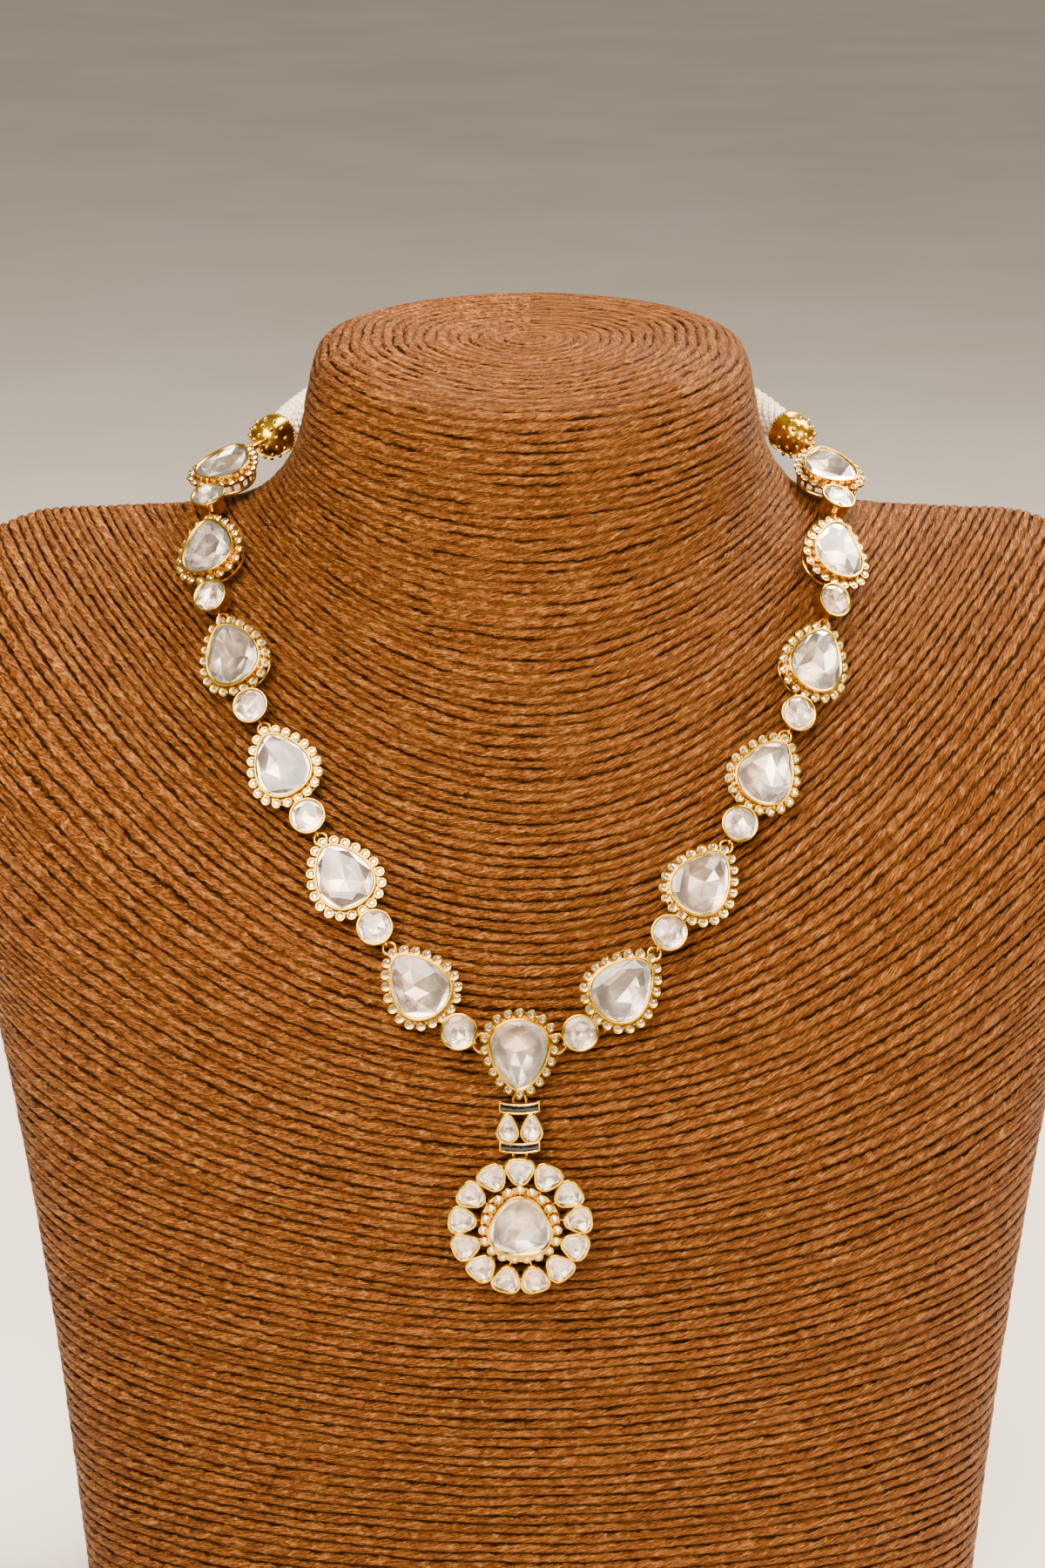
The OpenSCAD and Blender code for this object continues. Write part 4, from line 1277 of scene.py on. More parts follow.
def brilliant(radius: float, low: float, high: float) -> Shell:
    """A small round stone: eight-sided table, crown, girdle of sixteen and a flat back.

    Args:
        radius: radius of the girdle.
        low, high: heights of the back and the table.

    Returns:
        A closed shell.
    """
    n = 8
    turn = turns(n)
    half = turn + np.pi / n
    girdle = np.stack([circle(radius, low + 0.12, a) for a in (turn, half)], axis=1).reshape(-1, 3)
    base = girdle * [1, 1, 0] + [0, 0, low]
    table = circle(0.46 * radius, high, half)
    mid = circle(0.78 * radius, low + 0.6 * (high - low), turn)
    points = np.concatenate([base, girdle, mid, table])
    j, nxt, prv = np.arange(n), (np.arange(n) + 1) % n, (np.arange(n) - 1) % n
    g, m, t = 2 * n, 4 * n, 5 * n
    star = np.stack([m + j, t + j, t + prv], axis=-1)
    kite_a = np.stack([m + j, g + 2 * j, g + 2 * j + 1, t + j], axis=-1)
    kite_b = np.stack([m + nxt, t + j, g + 2 * j + 1, g + (2 * j + 2) % (2 * n)], axis=-1)
    rim = grid_faces(2, 2 * n, False, True)
    ends = [np.arange(2 * n)[::-1]]
    return Shell(points, [rim, star, kite_a, kite_b, [t + j], ends]).outward()


@dataclass
class RoundMount:
    """The gold cup of a round link with its two eyes."""

    chain: Chain
    sides: int = 40

    def shell(self) -> Shell:
        """The cup in its link's frame: floor, tapered wall, rolled rim and the stone's seat.

        Returns:
            The cup and its eyes.
        """
        c = self.chain
        r, neck, top, h = c.round_d / 2, c.neck_r, c.round_h, c.wire_h
        cup = lathe([
            (0, h / 2), (neck - 0.45, h / 2), (neck - 0.1, h / 2 + 0.15), (neck, h),
            (neck + 0.05, 2.4), (neck + 0.2, 3.6), (r - 0.25, top - 0.9), (r - 0.06, top - 0.5),
            (r, top - 0.2), (r - 0.04, top + 0.02), (r - 0.16, top + 0.1), (r - 0.36, top + 0.1),
            (r - 0.54, top), (r - 0.62, top - 0.2), (r - 0.62, top - 0.7), (neck - 0.65, 3.9), (0, 3)],
            self.sides)
        return joined([cup, c.eyes([(0, c.round_eye, 0), (0, -c.round_eye, 0)])])


@dataclass
class Bail:
    """The enamelled bail: two arched bands with two small pear bezels between them."""

    chain: Chain
    width: float = 9.3
    length: float = 11.9
    band_l: float = 2.4
    arch: float = 18.0
    columns: int = 16
    border: float = 0.45
    border_lap: float = 0.06
    wire_r: float = 0.25
    wire_in: float = 0.22
    bar_r: float = 0.3
    bar_in: float = 1.2
    drop: PearOutline = PearOutline(5.1, 6.9, 0.3)
    drop_gap: float = 0.4
    drop_y: float = -0.2
    drop_lip: float = 0.5
    drop_sides: int = 32

    def __post_init__(self) -> None:
        """Works out the heights and ends of the bands and the frames of the two pears."""
        self.top = self.chain.plate_z + 2.2
        self.floor = self.chain.plate_z + 1.4
        self.lows = (-self.length / 2, self.length / 2 - self.band_l - 0.3)
        x = (self.drop.width + self.drop_gap) / 2
        self.drops = [Frame.of([at, self.drop_y, 0], [-1, 0, 0], [0, -1, 0]) for at in (-x, x)]

    def arched(self, x: Array, y: Array) -> Array:
        """Points (x, y - R + (R^2 - x^2)^0.5) on the bands' arch."""
        return np.stack([x, y - self.arch + np.sqrt(self.arch**2 - x**2)], axis=-1)

    def edge(self, low: float, inset: float = 0.0) -> Array:
        """Outline of the band that begins at low, drawn in by inset."""
        x = np.linspace(inset - self.width / 2, self.width / 2 - inset, self.columns + 1)
        return np.concatenate([self.arched(x, low + inset), self.arched(x, low + self.band_l - inset)[::-1]])

    def gold(self) -> Shell:
        """Borders, floors and side bars of the bands, the pears' bezels and the eyes.

        Returns:
            The bail's gold in its own frame.
        """
        c, foot = self.chain, self.chain.plate_z + 0.15
        shells = []
        for low in self.lows:
            points = np.vstack([with_height(self.edge(low), z) for z in (foot, self.floor)])
            j, n = np.arange(self.columns), len(points) // 2
            flat = np.stack([j, j + 1, n - 2 - j, n - 1 - j], axis=-1)
            shells.append(Shell(points, [grid_faces(2, n, False, True), flat[:, ::-1], flat + n]).outward())
            for z in (self.floor + 0.05, self.floor + 0.42, self.top - 0.1):
                line = with_height(self.edge(low, self.wire_in), z)
                shells.append(pipe(line, self.wire_r, 8, UP, closed=True))
        cup = joined([Setting(c, self.drop, self.top, self.drop_sides).bezel(foot, self.drop_lip),
                      band(self.drop, [(-0.1, foot), (-0.1, c.plate_z + 0.8)], self.drop_sides, ring=False)])
        shells += [cup.put(frame).outward() for frame in self.drops]
        bar, z = self.width / 2 - self.bar_in, c.plate_z + 0.45
        for x in (-bar, bar):
            line = np.array([[x, 1 - self.length / 2, z], [x, self.length / 2 - 1.5, z]])
            shells.append(pipe(line, self.bar_r, 8, UP))
        return joined([*shells, c.eyes([(0, c.bail_eye, 0), (0, -c.bail_eye, 0)])])

    def enamel(self) -> Shell:
        """The dark fillings of the two bands, each one crowned across and flatter at its ends.

        The formula is z = top + h (1 - v^2) (1 - 0.6 u^8), with u along the band and v across it.

        Returns:
            The fillings in the bail's frame.
        """
        rows, columns = 9, 25
        u, v = np.linspace(-1, 1, columns)[None], np.linspace(-1, 1, rows)[:, None]
        half = self.width / 2 - self.border + self.border_lap
        reach = self.band_l / 2 - (self.border - self.border_lap)
        crown = self.top - 0.28 + 0.2 * (1 - v**2) * (1 - 0.6 * u**8)
        number = np.arange(rows * columns).reshape(rows, columns)
        rim = np.concatenate([number[0], number[1:, -1], number[-1, -2::-1], number[-2:0:-1, 0]])
        wall = np.stack([rim, np.roll(rim, -1), np.roll(rim, -1) + number.size, rim + number.size], axis=-1)
        sheet = grid_faces(rows, columns)
        shells = []
        for low in self.lows:
            flat = self.arched(half * u + 0 * v, low + self.band_l / 2 + reach * v + 0 * u)
            points = np.stack([np.concatenate([flat, crown[..., None]], axis=-1),
                               with_height(flat, self.floor + 0.02)]).reshape(-1, 3)
            shells.append(Shell(points, [sheet, sheet[:, ::-1] + number.size, wall[:, ::-1]]).outward())
        return joined(shells)

    def stones(self) -> Shell:
        """The two small pear stones.

        Returns:
            The stones in the bail's frame.
        """
        top = self.top
        return joined([
            StoneCutter(self.drop, grow=-0.56, floor=self.chain.plate_z + 0.92, girdle=top - 0.2,
                        table=top + 0.28, share=0.76, facets=5, per_facet=4, seed=seed).shell().put(frame)
            for seed, frame in zip((61, 67), self.drops)])


@dataclass
class Flower:
    """The pendant's flower: a three-cornered stone, its halo and a ring of petal cups."""

    chain: Chain
    petals: int = 13
    petal_out: float = 13.6
    halo_count: int = 19
    halo_rise: float = 0.2
    heart: CornerOutline = CornerOutline(7.3, 0.07)
    heart_sides: int = 60
    petal: CornerOutline = CornerOutline(3.3, 0.1)
    petal_sides: int = 30
    petal_lip: float = 0.58
    ring_sides: int = 72
    rings: tuple[float, float] = (8.8, 14.0)
    sheet: tuple[float, float] = (6.9, 9.1)
    arm: tuple[float, float] = (8.7, 10.7)
    arm_r: float = 0.28
    post_r: float = 0.3

    def __post_init__(self) -> None:
        """Works out the heights, the halo's places and the petals' frames, their corners inwards."""
        z = self.chain.plate_z
        self.heart_top, self.petal_top = z + 3.2, z + 2.0
        self.turned = Frame.of(np.zeros(3), [-1, 0, 0], [0, -1, 0])
        self.halo = self.heart.evenly(self.chain.collet_r - 0.05, self.halo_count)
        self.cups = []
        for a in turns(self.petals):
            x, y = np.array([math.cos(a), math.sin(a), 0]), np.array([-math.sin(a), math.cos(a), 0])
            self.cups.append(Frame.of(-self.petal_out * y, x, y))

    def gold(self) -> Shell:
        """All of the flower's gold in its own frame.

        Returns:
            The gold of the heart, the rings, the petals, the posts and the eye.
        """
        c = self.chain
        w, h, z = c.wire_w / 2, c.wire_h, c.plate_z
        setting = Setting(c, self.heart, self.heart_top, self.heart_sides)
        heart = joined([*setting.haloed(self.halo, self.halo_rise), setting.back()]).put(self.turned)
        axis = CornerOutline(0.0)
        sheet = flat_ring(axis, *self.sheet, z, z + c.plate_h, self.ring_sides)
        wires = [wire_ring(axis, r - w, r + w, h, self.ring_sides) for r in self.rings]
        cup = joined([
            Setting(c, self.petal, self.petal_top, self.petal_sides).bezel(z + 0.15, self.petal_lip),
            band(self.petal, [(-0.05, z + 0.05), (0, z + 0.2), (0, z + 0.75)], self.petal_sides, ring=False)])
        posts = []
        for i, frame in enumerate(self.cups):
            spoke = -frame.y[:2]
            arm = np.array([[*(r * spoke), z + self.arm_r] for r in self.arm])
            posts.append(pipe(arm, self.arm_r, 8, UP))
            for r in self.rings[: 2 if i else 1]:
                post = np.array([[*(r * spoke), height] for height in (h - 0.15, z + 0.3)])
                posts.append(pipe(post, self.post_r, 8, np.array([1.0, 0.3, 0])))
        eye = c.eyes([(0, -c.flower_eye, 0)])
        return joined([heart, sheet, *wires, *[cup.put(frame) for frame in self.cups], *posts, eye])

    def heart_stone(self) -> Shell:
        """The large three-cornered stone.

        Returns:
            The stone in the flower's frame.
        """
        top = self.heart_top
        cut = StoneCutter(self.heart, grow=-0.62, floor=self.chain.plate_z + 0.65, girdle=top - 0.25,
                          table=top + 0.4, share=0.84, facets=6, per_facet=6, seed=71)
        return cut.shell().put(self.turned)

    def petal_stones(self) -> Shell:
        """The petals' stones.

        Returns:
            The stones in the flower's frame.
        """
        top = self.petal_top
        return joined([
            StoneCutter(self.petal, grow=-0.58, floor=self.chain.plate_z + 0.92, girdle=top - 0.2,
                        table=top + 0.38, share=0.78, facets=5 + i % 2, per_facet=4,
                        seed=80 + i).shell().put(frame) for i, frame in enumerate(self.cups)])


@dataclass
class RopeEnd:
    """The gold cap at the end of the rope, with its grains, and the plain clasp at the back."""

    chain: Chain
    wall: float = 0.55
    sides: int = 40
    grain_r: float = 0.62
    grain_rows: tuple[tuple[float, int, float], ...] = ((24, 6, 0.0), (52, 10, 0.5), (80, 12, 0.0))
    bead_r: float = 0.34
    beads: int = 40
    clasp_sides: int = 48

    def cap(self) -> Shell:
        """The cap in its own frame: an eye, a shank and a bowl set with rows of grains.

        Returns:
            The cap's shell.
        """
        c, r = self.chain, self.chain.cap_r
        bowl, mouth, inner = c.shank_l + r, c.shank_l + c.cap_l, r - self.wall
        a = np.radians(np.arange(14, 91, 8))
        profile = np.vstack([
            [[0, c.eye_r - 0.15], [0.75, c.eye_r - 0.1], [0.9, c.eye_r + 0.3], [0.8, c.shank_l - 1.2],
             [0.9, c.shank_l - 0.5]], np.stack([r * np.sin(a), bowl - r * np.cos(a)], axis=-1),
            [[r, mouth - 0.9], [r + 0.12, mouth - 0.7], [r + 0.15, mouth - 0.35], [r + 0.02, mouth - 0.05],
             [r - 0.2, mouth], [inner, mouth - 0.1], [inner, bowl - 0.5], [0, c.shank_l + 2]]])
        lift = Frame.of(np.zeros(3), [1, 0, 0], [0, 0, -1])
        shells = [lathe(profile, self.sides).put(lift),
                  torus(c.eye_r, c.eye_wire, 24, 10).put(Frame.of(np.zeros(3), [0, 1, 0], UP))]
        for degrees, count, shift in self.grain_rows:
            b = math.radians(degrees)
            row = circle(r * math.sin(b), bowl - r * math.cos(b), turns(count, shift))
            shells.append(ball(self.grain_r, 10, 6).repeated(row[:, [0, 2, 1]]))
        rim = circle(r + 0.12, mouth - 0.35, turns(self.beads))
        return joined([*shells, ball(self.bead_r, 8, 4).repeated(rim[:, [0, 2, 1]])])

    def clasp(self) -> Shell:
        """The plain barrel clasp, turned with a raised ring at each end.

        Returns:
            The clasp's shell in its place.
        """
        c = self.chain
        half, r, hole = c.clasp_l / 2, c.cap_r - 0.1, c.rope_r + 0.35
        side = [(hole, half - 3.2), (hole, half - 0.15), (r - 0.25, half), (r - 0.05, half - 0.1),
                (r + 0.1, half - 0.5), (r - 0.02, half - 1.0), (r - 0.12, half - 1.3), (r - 0.1, half - 2.2),
                (r, half - 2.7), (r + 0.02, 0.4)]
        profile = [(0, half - 3.2), *side, *[(a, -b) for a, b in side[::-1]], (0, -half + 3.2)]
        across = Frame.of(c.clasp(), [0, 0, -1], [0, 1, 0])
        return lathe(profile, self.clasp_sides).put(across).outward()


@dataclass
class PearlRope:
    """Strands of seed pearls twisted round a thread core."""

    chain: Chain
    pearl_r: float = 0.82
    strands: int = 12
    lay: float = 34.0
    crowding: float = 0.97
    jitter: float = 0.12

    def line(self, side: Side, step: float = 0.5, window: int = 9) -> tuple[Array, Array, Array]:
        """Smooth places along the rope with their lengths and directions.

        Args:
            side: which rope.
            step: about the distance between places.
            window: count of places that each one is smoothed over.

        Returns:
            Places, lengths and unit directions.
        """
        coarse = self.chain.rope(side)
        length = lengths(coarse)
        fine = np.linspace(0, length[-1], int(length[-1] / step))
        place = np.stack([np.interp(fine, length, column) for column in coarse.T], axis=-1)
        kernel = np.hanning(window) / np.hanning(window).sum()
        padded = np.pad(place, ((window // 2, window // 2), (0, 0)), mode="reflect", reflect_type="odd")
        place = np.stack([np.convolve(column, kernel, mode="valid") for column in padded.T], axis=-1)
        return place, fine, unit(np.gradient(place, axis=0))

    def shell(self, side: Side) -> Shell:
        """The rope's core and its pearls.

        Pearl k of strand j lies at p(s) + q (cos a N + sin a B), with s its length along the rope
        and a = 2 pi (j / strands + s / lay), so each strand is a helix.

        Args:
            side: which rope.

        Returns:
            The rope's shell.
        """
        place, length, tangent = self.line(side)
        a_dir = unit(np.cross(UP, tangent))
        b_dir = np.cross(tangent, a_dir)
        out = self.chain.rope_r - self.pearl_r
        gap = 2 * self.pearl_r * self.crowding / math.hypot(1, 2 * math.pi * out / self.lay)
        k, j = np.meshgrid(np.arange(int((length[-1] - 2 * self.pearl_r) / gap)), np.arange(self.strands))
        s = self.pearl_r + (k + 0.5 * (j % 2)) * gap
        kept = s < length[-1] - self.pearl_r
        s, j = s[kept], j[kept]
        turn = 2 * np.pi * (j / self.strands + s / self.lay)

        def read(values: Array) -> Array:
            """Values along the rope at the pearls' lengths."""
            return np.stack([np.interp(s, length, column) for column in values.T], axis=-1)

        reach = out + self.jitter * (hashed(s * 7.1 + j, 4) - 0.5)
        centres = read(place) + reach[:, None] * (
            np.cos(turn)[:, None] * read(a_dir) + np.sin(turn)[:, None] * read(b_dir))
        return joined([ball(self.pearl_r, 6, 4).repeated(centres), pipe(place[::4], out, 16, UP)])


def linear(code: str) -> tuple[float, float, float, float]:
    """Linear colour of an sRGB hex code: ((c + 0.055) / 1.055)^2.4, or c / 12.92 for the darkest."""
    parts = [int(code[i:i + 2], 16) / 255 for i in (1, 3, 5)]
    return (*[p / 12.92 if p <= 0.04045 else ((p + 0.055) / 1.055) ** 2.4 for p in parts], 1.0)


def add_node(tree: Tree, kind: str, inputs: dict | None = None,
             stops: tuple[tuple[float, str], ...] = (), **settings) -> Node:
    """Adds a node with its settings, its sockets' values and its links.

    Args:
        tree: the material's node tree.
        kind: the node's type, without its family name.
        inputs: for each input's name or number a value, another node, whose main output is linked,
            or one of another node's output sockets.
        stops: a colour ramp's places and hex colours.
        **settings: the node's own properties.

    Returns:
        The node.
    """
    node = tree.nodes.new("ShaderNode" + kind)
    for i, (place, code) in enumerate(stops):
        elements = node.color_ramp.elements
        element = elements[i] if i < len(elements) else elements.new(place)
        element.position, element.color = place, linear(code)
    for name, value in settings.items():
        setattr(node, name, value)
    for socket, value in (inputs or {}).items():
        if isinstance(value, Node):
            value = next(output for output in value.outputs if output.enabled)
        if isinstance(value, bpy.types.NodeSocket):
            tree.links.new(value, node.inputs[socket])
        else:
            node.inputs[socket].default_value = value
    return node


@dataclass(frozen=True)
class Finish:
    """A finish: a named surface with one shader. Each kind fills the shader's sockets."""

    name: str = "plain"

    def material(self) -> Material:
        """Makes the finish's material.

        Returns:
            The material.
        """
        material = bpy.data.materials.new(self.name)
        material.use_nodes = True
        tree = material.node_tree
        tree.nodes.clear()
        shader = add_node(tree, "BsdfPrincipled", self.sockets(tree))
        add_node(tree, "OutputMaterial", {"Surface": shader})
        return material

    def sockets(self, tree: Tree) -> dict[str, object]:
        """Adds the finish's patterns and fills the shader's sockets.

        Args:
            tree: the material's node tree.

        Returns:
            Values, nodes or output sockets by socket.
        """
        raise NotImplementedError


@dataclass(frozen=True)
class PaperCord(Finish):
    """Kraft paper twisted into cord and wound in rows.

    The eye sees warm brown rows 2.5 mm apart with thin gaps between them, made near-black by painted
    shade, and the rows' flanks darkened by painted shade too. The twisting leaves fine slanting creases
    in each row, whose edges catch the light; their colour is partly the paper's own tone and partly
    painted highlight on the raised creases and painted shade in the folds. The light glances off
    the paper in its own brown, so the specular level is low and tinted.
    """

    name: str = "twisted_kraft_paper_cord"
    # light, middle and dark colour the creases and fibres: partly the paper's own tone, partly painted
    # highlight on the raised creases and painted shade in the folds.
    light: str = "#D5964E"
    middle: str = "#8B5325"
    dark: str = "#401B09"
    # Painted shade: the near-black that the gaps between the rows, and more weakly the rows' flanks, are
    # darkened to.
    gap: str = "#070200"
    crease_degrees: float = 14.0
    row_mm: float = 2.5
    luck_mm: float = 90.0
    cloud_mm: float = 100 / 3
    gap_mm: float = 0.5
    fold_mm: float = 1.5
    fibre_mm: float = 0.4
    specular: float = 0.3

    def sockets(self, tree: Tree) -> dict[str, object]:
        """Reads the cord's own coordinates: millimetres along the row and a count of rows.

        Args:
            tree: the material's node tree.

        Returns:
            Values, nodes or output sockets by socket.
        """
        creases = self.creases(tree)
        gap, shade = self.gaps(tree, creases["fibre"])
        place = add_node(tree, "TexCoord").outputs["Object"]
        cloud = add_node(tree, "TexNoise", {
            "Vector": place, "Scale": 1 / (self.cloud_mm * MM), "Detail": 3.0})
        # Painted highlight and shade: the crease colours follow the folds' bump height, lighter on ridges and
        # darker in folds, mixed with the paper's own fibre tone.
        mixed = add_node(tree, "Mix", {0: 0.65, 2: creases["fold"], 3: creases["fibre"]}, data_type="FLOAT")
        crease_tone_and_light = add_node(tree, "ValToRGB", {"Fac": mixed}, (
            (0.25, self.dark), (0.5, self.middle), (0.78, self.light)))
        level = add_node(tree, "Math", {0: creases["luck"], 1: 0.22, 2: 0.72}, operation="MULTIPLY_ADD")
        level = add_node(tree, "Math", {0: cloud, 1: 0.3, 2: level}, operation="MULTIPLY_ADD")
        toned = add_node(tree, "VectorMath", {0: crease_tone_and_light, "Scale": level}, operation="SCALE")
        deep = add_node(tree, "Bump", {
            "Height": gap, "Distance": self.gap_mm * MM, "Strength": 1.0}, invert=True)
        folds = add_node(tree, "Bump", {
            "Height": creases["fold"], "Distance": self.fold_mm * MM, "Strength": 1.0, "Normal": deep})
        return {
            # Painted shade: the rows' colour is darkened to the gap colour in the gaps and on their flanks.
            "Base Color": add_node(tree, "Mix", {
                "Factor": shade, 6: toned, 7: linear(self.gap)}, data_type="RGBA"),
            "Roughness": add_node(tree, "MapRange", {
                "Value": creases["fibre"], "To Min": 0.42, "To Max": 0.75}),
            "Normal": add_node(tree, "Bump", {
                "Height": creases["fibre"], "Distance": self.fibre_mm * MM, "Strength": 0.9,
                "Normal": folds}),
            "Specular IOR Level": self.specular,
            "Specular Tint": linear(self.light),
        }

    def creases(self, tree: Tree) -> dict[str, Node]:
        """Slanting creases and fibres, moved along each row by a random length.

        Args:
            tree: the material's node tree.

        Returns:
            Nodes of each row's random share ("luck"), the creases ("fold") and the fibres ("fibre").
        """
        split = add_node(tree, "SeparateXYZ", {"Vector": add_node(tree, "UVMap", uv_map="cord")})
        along, phase = split.outputs["X"], split.outputs["Y"]
        own_row = add_node(tree, "Math", {0: phase}, operation="FLOOR")
        luck = add_node(tree, "TexWhiteNoise", {"W": own_row}, noise_dimensions="1D")
        shifted = add_node(tree, "Math", {0: luck, 1: self.luck_mm, 2: along}, operation="MULTIPLY_ADD")
        across = add_node(tree, "Math", {0: phase, 1: self.row_mm}, operation="MULTIPLY")
        slanted = add_node(tree, "Mapping", {
            "Vector": add_node(tree, "CombineXYZ", {"X": shifted, "Y": across}),
            "Rotation": (0, 0, math.radians(self.crease_degrees))})
        crease = add_node(tree, "TexNoise", {
            "Vector": add_node(tree, "Mapping", {"Vector": slanted, "Scale": (0.16, 1.0, 1)}),
            "Scale": 1.0, "Detail": 2.0, "Distortion": 0.2, "Offset": 0.9, "Gain": 1.5},
            noise_dimensions="2D", noise_type="RIDGED_MULTIFRACTAL")
        fibre = add_node(tree, "TexNoise", {
            "Vector": add_node(tree, "Mapping", {"Vector": slanted, "Scale": (0.7, 3.2, 1)}),
            "Scale": 1.0, "Detail": 3.0, "Roughness": 0.7}, noise_dimensions="2D")
        fold = add_node(tree, "MapRange", {"Value": crease, "From Min": 0.3, "From Max": 1.5})
        return {"luck": luck, "fold": fold, "fibre": fibre}

    def gaps(self, tree: Tree, fibre: Node) -> tuple[Node, Node]:
        """The gaps between the rows, as far as they are open, and the painted shade in them and on the rows'
        flanks.

        Args:
            tree: the material's node tree.
            fibre: the fibres, which break the gaps up.

        Returns:
            Nodes of the gaps' depth and of the painted shade.
        """
        cord = add_node(tree, "UVMap", uv_map="cord")
        phase = add_node(tree, "SeparateXYZ", {"Vector": cord}).outputs["Y"]
        wobble = add_node(tree, "TexNoise", {
            "Vector": add_node(tree, "Mapping", {"Vector": cord, "Scale": (0.3, 1.3, 1)}),
            "Scale": 1.0, "Detail": 4.0}, noise_dimensions="2D")
        unsteady = add_node(tree, "Math", {0: wobble, 1: 0.5, 2: -0.25}, operation="MULTIPLY_ADD")
        edges = []
        for share in (1.0, 2.0):
            scaled = add_node(tree, "Math", {0: phase, 1: share, 2: unsteady}, operation="MULTIPLY_ADD")
            edges.append(add_node(tree, "Math", {0: scaled, 1: 0.5}, operation="PINGPONG"))
        wedge = add_node(tree, "Attribute", attribute_name="wedge").outputs["Fac"]
        edge = add_node(tree, "Mix", {0: wedge, 2: edges[0], 3: edges[1]}, data_type="FLOAT")
        # groove is the gaps' painted shade and bump depth, flank the weaker painted shade on the rows'
        # flanks.
        groove, flank = [add_node(tree, "MapRange", {
            "Value": edge, "From Min": near, "From Max": far, "To Min": most, "To Max": 0.0},
            interpolation_type="SMOOTHSTEP") for near, far, most in ((0.03, 0.15, 1.0), (0.05, 0.36, 0.5))]
        opened = add_node(tree, "Attribute", attribute_name="open").outputs["Fac"]
        dash = add_node(tree, "Math", {0: fibre, 1: 1.2, 2: opened}, operation="MULTIPLY_ADD")
        openness = add_node(tree, "MapRange", {"Value": dash, "From Min": 1.1, "From Max": 1.45})
        gap = add_node(tree, "Math", {0: groove, 1: openness}, operation="MULTIPLY")
        return gap, add_node(tree, "Math", {0: gap, 1: flank}, operation="MAXIMUM")


@dataclass(frozen=True)
class PolishedGold(Finish):
    """Gold of 22 carats, hand-raised and polished: deep yellow, with a faint ripple from the burnisher."""

    name: str = "burnished_22_carat_gold"
    bright: str = "#E9BB2B"
    deep: str = "#B48A14"
    tone_mm: float = 20 / 7
    ripple_mm: float = 1.4

    def sockets(self, tree: Tree) -> dict[str, object]:
        """Metal with a slow change of colour and a slight ripple.

        Args:
            tree: the material's node tree.

        Returns:
            Values, nodes or output sockets by socket.
        """
        place = add_node(tree, "TexCoord").outputs["Object"]
        tone, ripple = [add_node(tree, "TexNoise", {"Vector": place, "Scale": 1 / (size * MM), "Detail": 2.0})
                        for size in (self.tone_mm, self.ripple_mm)]
        return {
            "Base Color": add_node(tree, "ValToRGB", {"Fac": tone}, ((0.3, self.deep), (0.65, self.bright))),
            "Metallic": 1.0,
            "Roughness": add_node(tree, "MapRange", {"Value": tone, "To Min": 0.13, "To Max": 0.3}),
            "Normal": add_node(tree, "Bump", {"Height": ripple, "Distance": 0.05 * MM, "Strength": 0.6}),
        }


@dataclass(frozen=True)
class ClearCrown(Finish):
    """Uncut clear stone, ground and polished: glassy, so the foiled back shows through it."""

    name: str = "clear_stone_crown"
    colour: str = "#FFFDFA"

    def sockets(self, tree: Tree) -> dict[str, object]:
        """A clear, smooth shader."""
        return {"Base Color": linear(self.colour), "Transmission Weight": 1.0, "Roughness": 0.01, "IOR": 1.6}


@dataclass(frozen=True)
class SilverFoil(Finish):
    """Burnished silver foil pressed to the stone's back: bright, softly blurred, warm in places, with
    painted reflection and shade facet by facet.
    """

    name: str = "burnished_silver_foil"
    pale: str = "#FFFDFA"
    dusk: str = "#FBEDE2"
    wave_mm: float = 50 / 13

    def sockets(self, tree: Tree) -> dict[str, object]:
        """Metal tinted facet by facet with painted reflection and shade, with the soft waves of beaten foil.

        Args:
            tree: the material's node tree.

        Returns:
            Values, nodes or output sockets by socket.
        """
        # The tint attribute holds each facet's painted reflection and shade.
        tint = add_node(tree, "Attribute", attribute_name="tint").outputs["Color"]
        place = add_node(tree, "TexCoord").outputs["Object"]
        wave = add_node(tree, "TexNoise", {
            "Vector": place, "Scale": 1 / (self.wave_mm * MM), "Detail": 2.0, "Distortion": 1.2})
        cloud = add_node(tree, "ValToRGB", {"Fac": wave}, ((0.35, self.dusk), (0.6, self.pale)))
        return {
            "Base Color": add_node(tree, "Mix", {"Factor": 1.0, 6: tint, 7: cloud},
                                   data_type="RGBA", blend_type="MULTIPLY"),
            "Metallic": 1.0,
            "Roughness": 0.24,
            "Normal": add_node(tree, "Bump", {"Height": wave, "Distance": 0.12 * MM, "Strength": 0.5}),
        }


@dataclass(frozen=True)
class CutBrilliant(Finish):
    """Small white brilliants over closed collets: hard, colourless facets that flash white or grey."""

    name: str = "cut_white_brilliant"
    colour: str = "#E2DED8"

    def sockets(self, tree: Tree) -> dict[str, object]:
        """A smooth, mirror-like shader under a clear coat."""
        return {"Base Color": linear(self.colour), "Metallic": 0.9, "Roughness": 0.05, "Coat Weight": 1.0,
                "Coat Roughness": 0.02}


